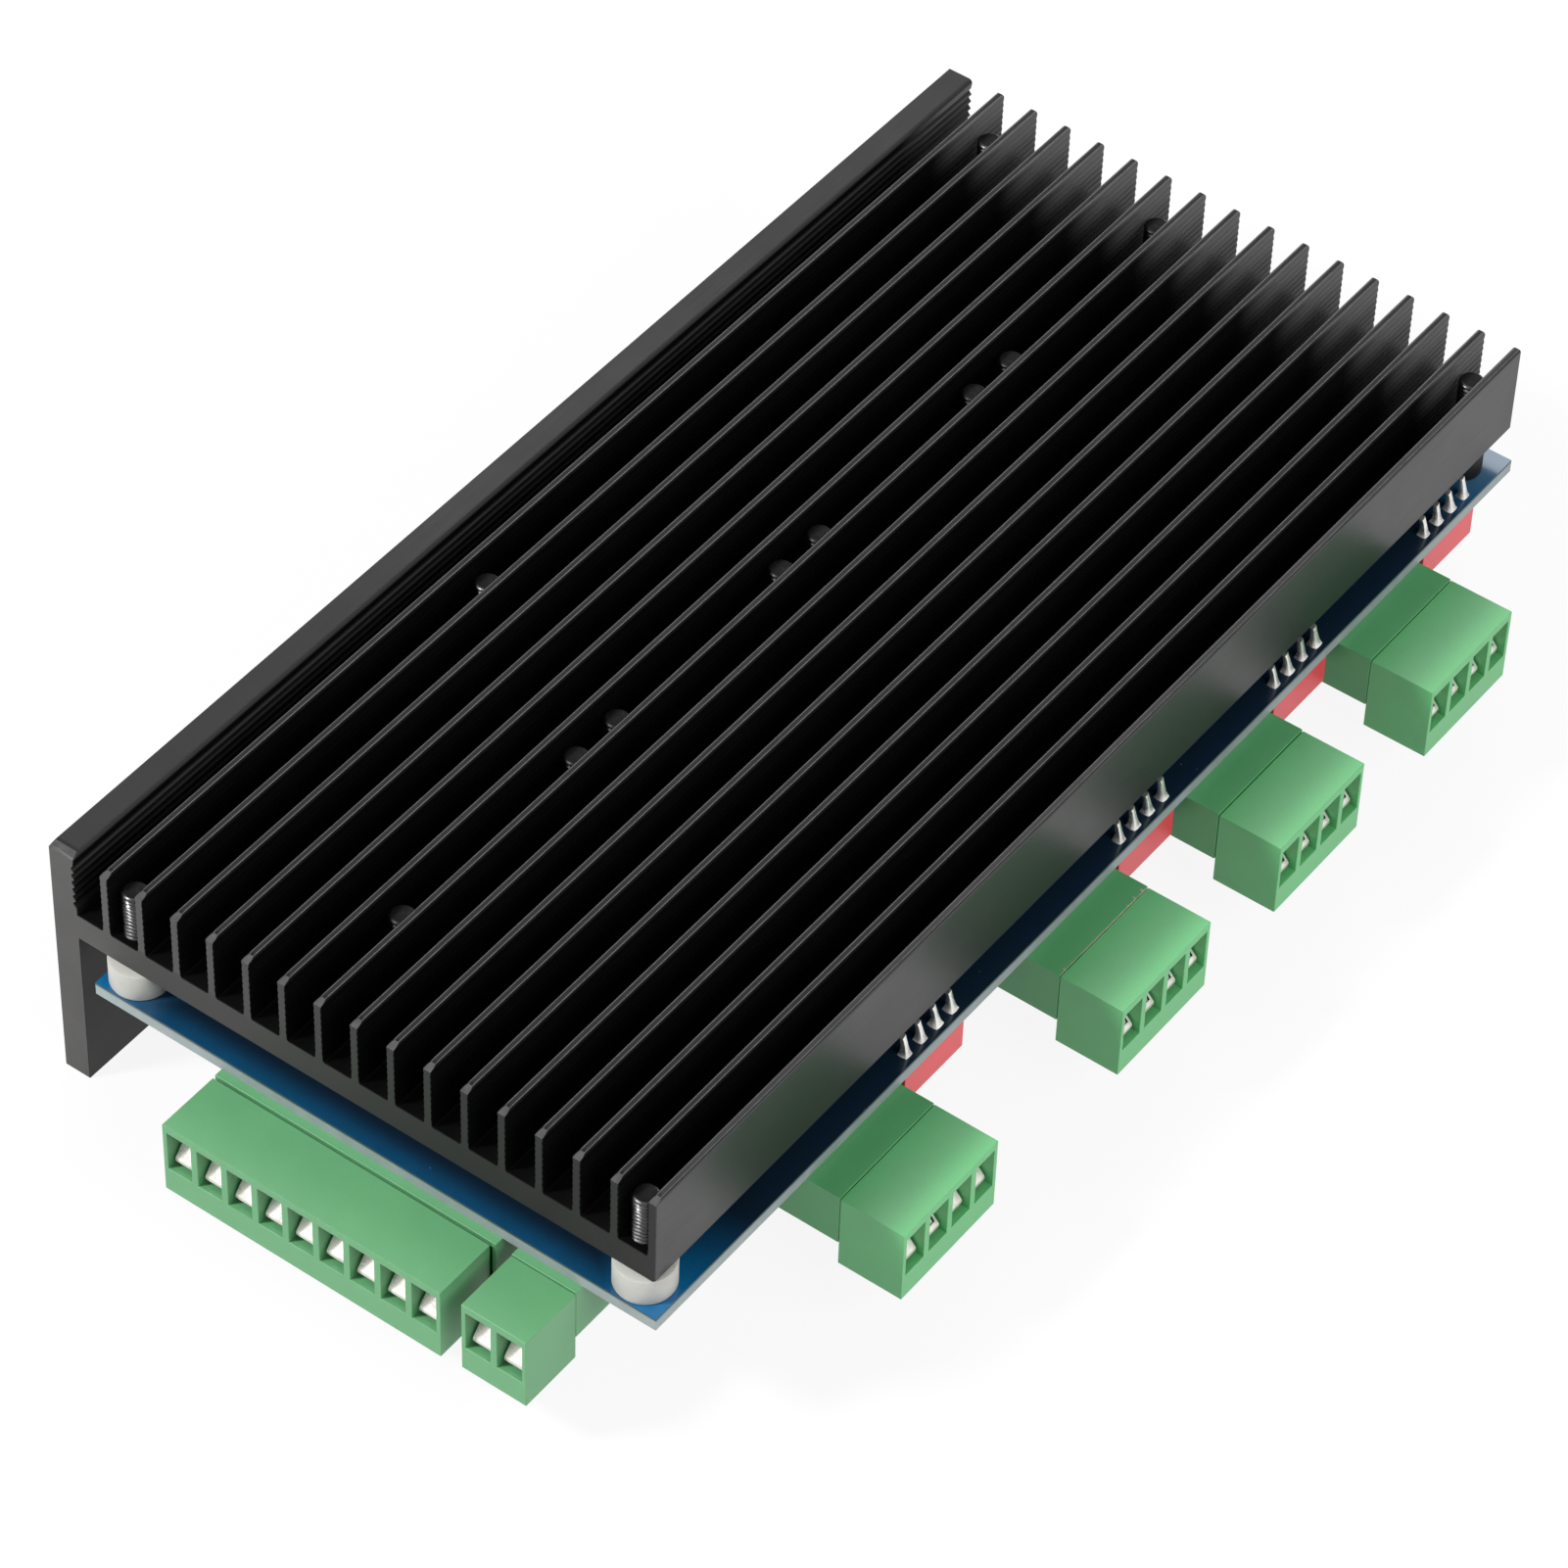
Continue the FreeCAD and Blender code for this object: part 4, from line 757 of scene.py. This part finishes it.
def make_solder():
    """Switch leads with their solder cones, and cones round the legs of the contact pins."""
    leads = Batch()
    chance = np.random.default_rng(7)
    for low, high in places("dip_leads"):
        x, y = (low[:2] + high[:2]) / 2
        lean = np.array(LEAD_LEAN) + chance.normal(0, 0.06, 2)
        top = high[2] - LEAD_TRIM + chance.uniform(-0.12, 0.12)
        soldered(leads, x, y, low[2], top, lean, SOLDER_FLARE + chance.uniform(-0.06, 0.06))
    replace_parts(leads.make("dip_leads_soldered", [TIN]), "dip_leads")
    cones = Batch()
    for low, high in places("header_pins"):
        x, y = (low[:2] + high[:2]) / 2
        if high[0] - low[0] > high[1] - low[1]:
            x = low[0] + 0.4
        else:
            y = high[1] - 0.4
        height = np.array([0.0, 0.06, 0.18, 0.36, 0.6, 0.85])
        radii = 0.5 + 0.6 * np.exp(-height / 0.25)
        cones.grid(turned(radii, BOARD_TOP - 0.01 + height, 20) + np.array([x, y, 0]))
        cones.grid(turned(radii[:5], BOARD_BOTTOM + 0.01 - height[:5], 20) + np.array([x, y, 0]))
    cones.make("pin_solder", [TIN])


# ---------------------------------------------------------------- terminals

def oriented(points, front, inward, across):
    """Points given as (across, inward, up) set at a clamp's front."""
    turn = np.array([[across[0], across[1], 0], [inward[0], inward[1], 0], [0, 0, 1]], float)
    return points @ turn + np.array([front[0], front[1], 0])


def jaw(width, recess):
    """The lower jaw: a plate whose height rises inwards as a quarter sine and levels off, with a rim along
    its front and sides and a recess between them."""
    rim, fall = 0.3, 0.1
    across = np.array([0, rim, rim + fall, width - rim - fall, width - rim, width]) - width / 2
    dip = np.array([0, 0, 1, 1, 0, 0])
    inward = np.concatenate([[0, rim], np.linspace(rim + fall, JAW_REACH, 9)])
    depth = (inward > rim) * 1.0
    curve = JAW_LEVEL + JAW_RISE * np.sin(inward / JAW_REACH * math.pi / 2)
    top = curve[:, None] - recess * depth[:, None] * dip[None, :]
    under = curve - JAW_WALL
    ring_across = np.concatenate([across, across[[-1, 0]]])
    heights = np.concatenate([top, under[:, None], under[:, None]], axis=1)
    shape = heights.shape
    return np.stack([np.broadcast_to(ring_across, shape), np.broadcast_to(inward[:, None], shape), heights],
                    axis=-1)


def make_clamps():
    """Wire clamps: a sloped lower jaw in every entry with its cage behind, and the slotted screw that lifts
    it."""
    clamps = Batch()
    screws = Batch()
    cages = places("wire_clamps")
    for number, (low, high) in enumerate(cages):
        x, y = (low[:2] + high[:2]) / 2
        motor = x > MOTOR_SIDE_X
        inward, across = ((-1, 0), (0, 1)) if motor else ((0, 1), (1, 0))
        front = (high[0] + 0.1, y) if motor else (x, low[1] - 0.1)
        lifted = not motor or number in LIFTED_JAWS
        shape = jaw(JAW_WIDTH, 0.0 if lifted else JAW_HOLLOW)
        first = len(clamps.marks)
        clamps.grid(oriented(shape, front, inward, across))
        # Painted shade: the recess of a jaw that is not lifted takes the blackened finish.
        if not lifted:
            hollow_shade = np.zeros((shape.shape[0] - 1, shape.shape[1]), int)
            hollow_shade[1:, 1:4] = 2
            clamps.marks[first:first + hollow_shade.size] = hollow_shade.ravel().tolist()
        half = JAW_WIDTH / 2
        cage = [
            block((-half, CAGE_FRONT, JAW_LEVEL + 0.5), (-half + JAW_WALL, CAGE_BACK, CAGE_TOP)),
            block((half - JAW_WALL, CAGE_FRONT, JAW_LEVEL + 0.5), (half, CAGE_BACK, CAGE_TOP)),
            block((-half, CAGE_FRONT, CAGE_TOP - JAW_WALL), (half, CAGE_BACK, CAGE_TOP)),
        ]
        for corners, faces in cage:
            clamps.solid(oriented(corners, front, inward, across), faces, mark=1)
    finishes = [NICKEL, DULL_NICKEL, DARK_SCREW]
    made = clamps.make("wire_clamp_jaws", finishes, smooth=False)
    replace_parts(made, "wire_clamps")
    for low, high in places("clamp_screws"):
        x, y = (low[:2] + high[:2]) / 2
        r = (high[0] - low[0]) / 2
        out = np.array([0.55, 1.0, 1.0, 0.9, 0.75, 0.5, 0.25, 0.05]) * r
        levels = np.array([JAW_LEVEL - 0.3] * 2 + [low[2] + 0.15] + [low[2]] * 5)
        head = turned(out, levels, 32)
        slot_half, slot_depth = 0.26, 0.55
        slot = (np.abs(head[..., 1]) < slot_half) & (head[..., 2] < low[2] + 0.1)
        head[..., 2] += slot_depth * slot
        screws.grid(head + np.array([x, y, 0]))
    made = screws.make("clamp_screws_slotted", [SCREW], smooth=False)
    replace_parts(made, "clamp_screws")


def make_seam_strip():
    """The plated flash that shows in the open seam of the second motor plug."""
    low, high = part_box("header_motor_2")
    low, high = np.array(low) / MM, np.array(high) / MM
    along = np.linspace(low[1] + 0.3, high[1] - 0.2, 24)
    width = 0.05 + 0.16 * np.linspace(0, 1, 24) ** 1.5 + 0.02 * np.sin(along * 9)
    top = high[2] - 0.02 + 0.03 * np.sin(along * 5)
    inner = high[0] - 0.35 + 0 * width
    outer = high[0] - 0.02 + width * 0.4
    corners = [(inner, top), (outer, top), (outer, top - 0.4), (inner, top - 0.4)]
    ring = np.stack([np.stack([x, along, z], axis=-1) for x, z in corners], axis=1)
    strip = Batch()
    strip.grid(ring)
    strip.make("seam_flash", [FLASH], smooth=False)


# ---------------------------------------------------------------- component side

def chip_legs(batch, low, high):
    """Bent legs down both long sides of a chip: a shoulder beside the body and a leg up into the board."""
    count = int(round((high[1] - low[1] - 1.0) / LEG_PITCH))
    middle = (low[2] + high[2]) / 2
    start = (low[1] + high[1]) / 2 - (count - 1) * LEG_PITCH / 2
    wide, narrow = LEG_WIDE / 2, LEG_NARROW / 2
    for leg in range(count):
        y = start + leg * LEG_PITCH
        for side, x in ((-1, low[0]), (1, high[0])):
            out = x + side * 0.5
            batch.box((min(x, out) - 0.02, y - wide, middle - LEG_HALF),
                      (max(x, out) + 0.02, y + wide, middle + LEG_HALF))
            batch.box((out - LEG_HALF, y - wide, middle + 0.05),
                      (out + LEG_HALF, y + wide, BOARD_BOTTOM - 0.9))
            batch.box((out - LEG_HALF, y - narrow, BOARD_BOTTOM - 0.95),
                      (out + LEG_HALF, y + narrow, BOARD_BOTTOM))


def make_chips():
    """The legs and end caps of the component side, and its moulded bodies with eased edges."""
    legs = Batch()
    for low, high in places("optocouplers") + places("logic_chips"):
        chip_legs(legs, low, high)
    low, high = places("regulator")[0]
    for step_out in (-LEG_PITCH, 0.0, LEG_PITCH):
        x = (low[0] + high[0]) / 2 + step_out
        left, right = x - REGULATOR_LEG_HALF, x + REGULATOR_LEG_HALF
        legs.box((left, low[1] - 2.6, REGULATOR_LEG_LOW), (right, low[1] + 0.1, REGULATOR_LEG_LOW + 0.4))
        legs.box((left, low[1] - 3.0, REGULATOR_LEG_LOW), (right, low[1] - 2.55, BOARD_BOTTOM))
    legs.make("chip_legs", [TIN], smooth=False)
    caps = Batch()
    for low, high in places("sense_resistors"):
        near_cap = (low[1] - CAP_SKIN, low[1] + CAP_LENGTH)
        far_cap = (high[1] - CAP_LENGTH, high[1] + CAP_SKIN)
        for start, end in (near_cap, far_cap):
            caps.box((low[0] - CAP_SKIN, start, low[2] - CAP_SKIN), (high[0] + CAP_SKIN, end, BOARD_BOTTOM))
    caps.make("resistor_end_caps", [TIN], smooth=False, ease=0.06)
    for name in ("optocouplers", "logic_chips"):
        dressed(name, [EPOXY], ease=0.25)
    dressed("regulator", [EPOXY, STEEL], ease=0.12,
            choose=lambda normal, middle: ((middle[:, 2] > BOARD_BOTTOM - REGULATOR_TAB_DROP)
                                           | (middle[:, 1] > REGULATOR_TAB_Y)))
    dressed("sense_resistors", [CERAMIC], ease=0.05)
    for number in range(1, 5):
        dressed("driver_chip_%d" % number, [EPOXY, TIN], ease=0.06,
                choose=lambda normal, middle: middle[:, 0] > DRIVER_CHIP_SIDE + 0.05)


def make_capacitors():
    """Turned cans: a sleeve with the crimp near the board, and a bare end with its rim and vent cross."""
    for number in range(1, 5):
        low, high = places("capacitor_%d" % number)[0]
        x, y = (low[:2] + high[:2]) / 2
        r = (high[0] - low[0]) / 2
        end = low[2]
        drop = np.array([0.0, 0.25, 0.9, 1.25, 1.6, 2.3])
        radii = np.array([r - 0.35, r, r, r - 0.35, r, r])
        lower = np.array([0.6, 0.2, 0.0, 0.0, 0.12] + [0.35] * 6)
        lower_radii = np.array([r, r - 0.05, r - 0.3, r - 0.7, r - 0.8, r - 0.9,
                                r * 0.6, r * 0.45, r * 0.3, 0.4, 0.1])
        all_radii = np.concatenate([radii, lower_radii])
        levels = np.concatenate([high[2] - drop, end + lower])
        can = turned(all_radii, levels, 48)
        arm = np.minimum(np.abs(can[..., 0]), np.abs(can[..., 1]))
        reach = np.hypot(can[..., 0], can[..., 1])
        can[..., 2] += VENT_DEPTH * ((arm < VENT_HALF) & (reach < r * 0.62))
        batch = Batch()
        batch.grid(can + np.array([x, y, 0]))
        rows, columns = can.shape[:2]
        stripe = np.zeros((rows - 1, columns), int)
        stripe[:, 4:11] = 2
        stripe[9:, :] = 1
        batch.marks = stripe.ravel().tolist() + batch.marks[(rows - 1) * columns:]
        batch.marks[-1] = 1
        made = batch.make("capacitor_can_%d" % number, [SLEEVE, BARE_CAN, SLEEVE_STRIPE])
        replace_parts(made, "capacitor_%d" % number)


def make_socket():
    """The data socket's shell, insulator and nuts."""
    dressed("data_socket_shell", [STEEL], ease=0.12)
    dressed("data_socket_insert", [INSERT], ease=0.06)
    nuts = Batch()
    for low, high in places("data_socket_nuts"):
        middle = (low + high) / 2
        r = (high[0] - low[0]) / 2
        turn = np.arange(6) / 6 * ROUND
        reach = np.array([low[1], high[1] - 0.35, high[1]])
        size = np.array([r, r, r - 0.4])
        outer = np.stack([middle[0] + size[:, None] * np.cos(turn),
                          np.repeat(reach[:, None], 6, axis=1),
                          middle[2] + size[:, None] * np.sin(turn)], axis=-1)
        nuts.grid(outer)
        ring = np.arange(24) / 24 * ROUND
        bore = np.array([BORE_RADIUS, 1.35, 1.2])
        level = np.array([high[1] + 0.01, high[1] - 0.1, high[1] + 0.005])
        inner = np.stack([middle[0] + bore[:, None] * np.cos(ring),
                          np.repeat(level[:, None], 24, axis=1),
                          middle[2] + bore[:, None] * np.sin(ring)], axis=-1)
        nuts.grid(inner, mark=1)
    made = nuts.make("jack_nuts", [STEEL, INSERT], smooth=False)
    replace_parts(made, "data_socket_nuts")


make_heatsink()
make_screws()
make_spacers()
make_board()
make_solder()
make_clamps()
make_seam_strip()
make_chips()
make_capacitors()
make_socket()

for name in sorted(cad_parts):
    if name.startswith("plug_"):
        front = name in ("plug_control", "plug_power")
        dressed(name, [FRONT_GREEN if front else GREEN], ease=0.1)
    elif name.startswith("header_") and name != "header_pins":
        front = name in ("header_control", "header_power")
        dressed(name, [FRONT_GREEN if front else HEADER_GREEN], ease=0.07)
    elif name.startswith("dip_switch"):
        dressed(name, [RED], ease=0.1)
    elif name.startswith("slider"):
        dressed(name, [WHITE_SLIDER], ease=0.08, body="moving_" + name)

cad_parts["header_pins"].data.materials[0] = TIN


# ---------------------------------------------------------------- studio

AIM = Vector((36.4, 0.0, 24.0))
AZIMUTH = math.radians(35.258)
ELEVATION = math.radians(45.938)
ROLL = math.radians(2.081)
DISTANCE = 662.32
SIDE_STEP = -3.596
RISE = -14.060
LENS_IN_PIXELS = 6613.0
PICTURE_WIDTH = 1601.0
SENSOR_MM = 36.0
FLOOR_HALF = 3.0
FLOOR_LEVEL = -0.00005
WORLD_LEVEL = 0.3
LAMP_AIM = (0.036, 0, 0.02)


def make_camera():
    """Stands at the photograph's viewing angle."""
    back = Vector((math.sin(AZIMUTH) * math.cos(ELEVATION), -math.cos(AZIMUTH) * math.cos(ELEVATION),
                   math.sin(ELEVATION)))
    level = Vector((math.cos(AZIMUTH), math.sin(AZIMUTH), 0))
    up = back.cross(level)
    right = math.cos(ROLL) * level + math.sin(ROLL) * up
    top = -math.sin(ROLL) * level + math.cos(ROLL) * up
    lens = bpy.data.cameras.new("camera")
    lens.sensor_width = SENSOR_MM
    lens.lens = LENS_IN_PIXELS / PICTURE_WIDTH * SENSOR_MM
    lens.clip_start = 0.01
    lens.clip_end = 20
    camera = bpy.data.objects.new("camera", lens)
    place = (AIM + right * SIDE_STEP + top * RISE + back * DISTANCE) * MM
    turn = Matrix((right, top, back)).transposed().to_4x4()
    camera.matrix_world = Matrix.Translation(place) @ turn
    bpy.context.scene.collection.objects.link(camera)
    bpy.context.scene.camera = camera


def seen_directly(tree):
    """1 for rays that show the background itself: from the camera, in metal and through glass."""
    path = tree.nodes.new("ShaderNodeLightPath")
    most = maths(tree, "MAXIMUM", path.outputs["Is Camera Ray"], path.outputs["Is Glossy Ray"])
    return maths(tree, "MAXIMUM", most, path.outputs["Is Transmission Ray"])


def make_floor():
    """A pale floor: mostly plain white to the camera, and still darker where the object's shadow falls."""
    material = bpy.data.materials.new("pale_floor")
    material.use_nodes = True
    tree = material.node_tree
    tree.nodes.remove(tree.nodes["Principled BSDF"])
    lit = step(tree, "BsdfDiffuse", "BSDF", {"Color": (0.82, 0.82, 0.82, 1)})
    white = step(tree, "Emission", "Emission", {"Color": (1, 1, 1, 1), "Strength": 1.0})
    amount = maths(tree, "MULTIPLY", seen_directly(tree), 0.9)
    floor_look = step(tree, "MixShader", "Shader", {0: amount, 1: lit, 2: white})
    tree.links.new(floor_look, tree.nodes["Material Output"].inputs["Surface"])
    mesh = bpy.data.meshes.new("floor")
    corners = [(-1, -1), (1, -1), (1, 1), (-1, 1)]
    mesh.from_pydata([(x * FLOOR_HALF, y * FLOOR_HALF, FLOOR_LEVEL) for x, y in corners], [], [(0, 1, 2, 3)])
    mesh.materials.append(material)
    floor = bpy.data.objects.new("floor", mesh)
    bpy.context.scene.collection.objects.link(floor)


def make_world():
    """Plain soft light from all round, and plain white where the background itself is seen."""
    world = bpy.data.worlds.new("studio")
    bpy.context.scene.world = world
    world.use_nodes = True
    tree = world.node_tree
    background = tree.nodes["Background"]
    strength = maths(tree, "MULTIPLY", seen_directly(tree), 1.0 - WORLD_LEVEL)
    strength = maths(tree, "ADD", strength, WORLD_LEVEL)
    background.inputs["Color"].default_value = (1, 1, 1, 1)
    tree.links.new(strength, background.inputs["Strength"])


def soft_lamp(name, place, width, depth, watts):
    """A rectangular soft box at a place, in metres, turned to the part."""
    light = bpy.data.lights.new(name, "AREA")
    light.shape = "RECTANGLE"
    light.size = width
    light.size_y = depth
    light.energy = watts
    lamp = bpy.data.objects.new(name, light)
    lamp.location = place
    lamp.rotation_euler = (Vector(LAMP_AIM) - Vector(place)).to_track_quat("-Z", "Y").to_euler()
    bpy.context.scene.collection.objects.link(lamp)


make_camera()
make_floor()
make_world()
soft_lamp("key", (-0.45, -0.65, 0.77), 0.16, 0.16, 11.8)
soft_lamp("sheen", (-0.44, 0.68, 0.88), 0.5, 0.5, 3.4)
soft_lamp("right", (0.80, -0.10, 0.60), 0.7, 0.4, 5.0)
soft_lamp("back", (0.15, 1.00, 0.30), 0.4, 0.3, 2.0)

bpy.context.scene.view_settings.view_transform = "Standard"
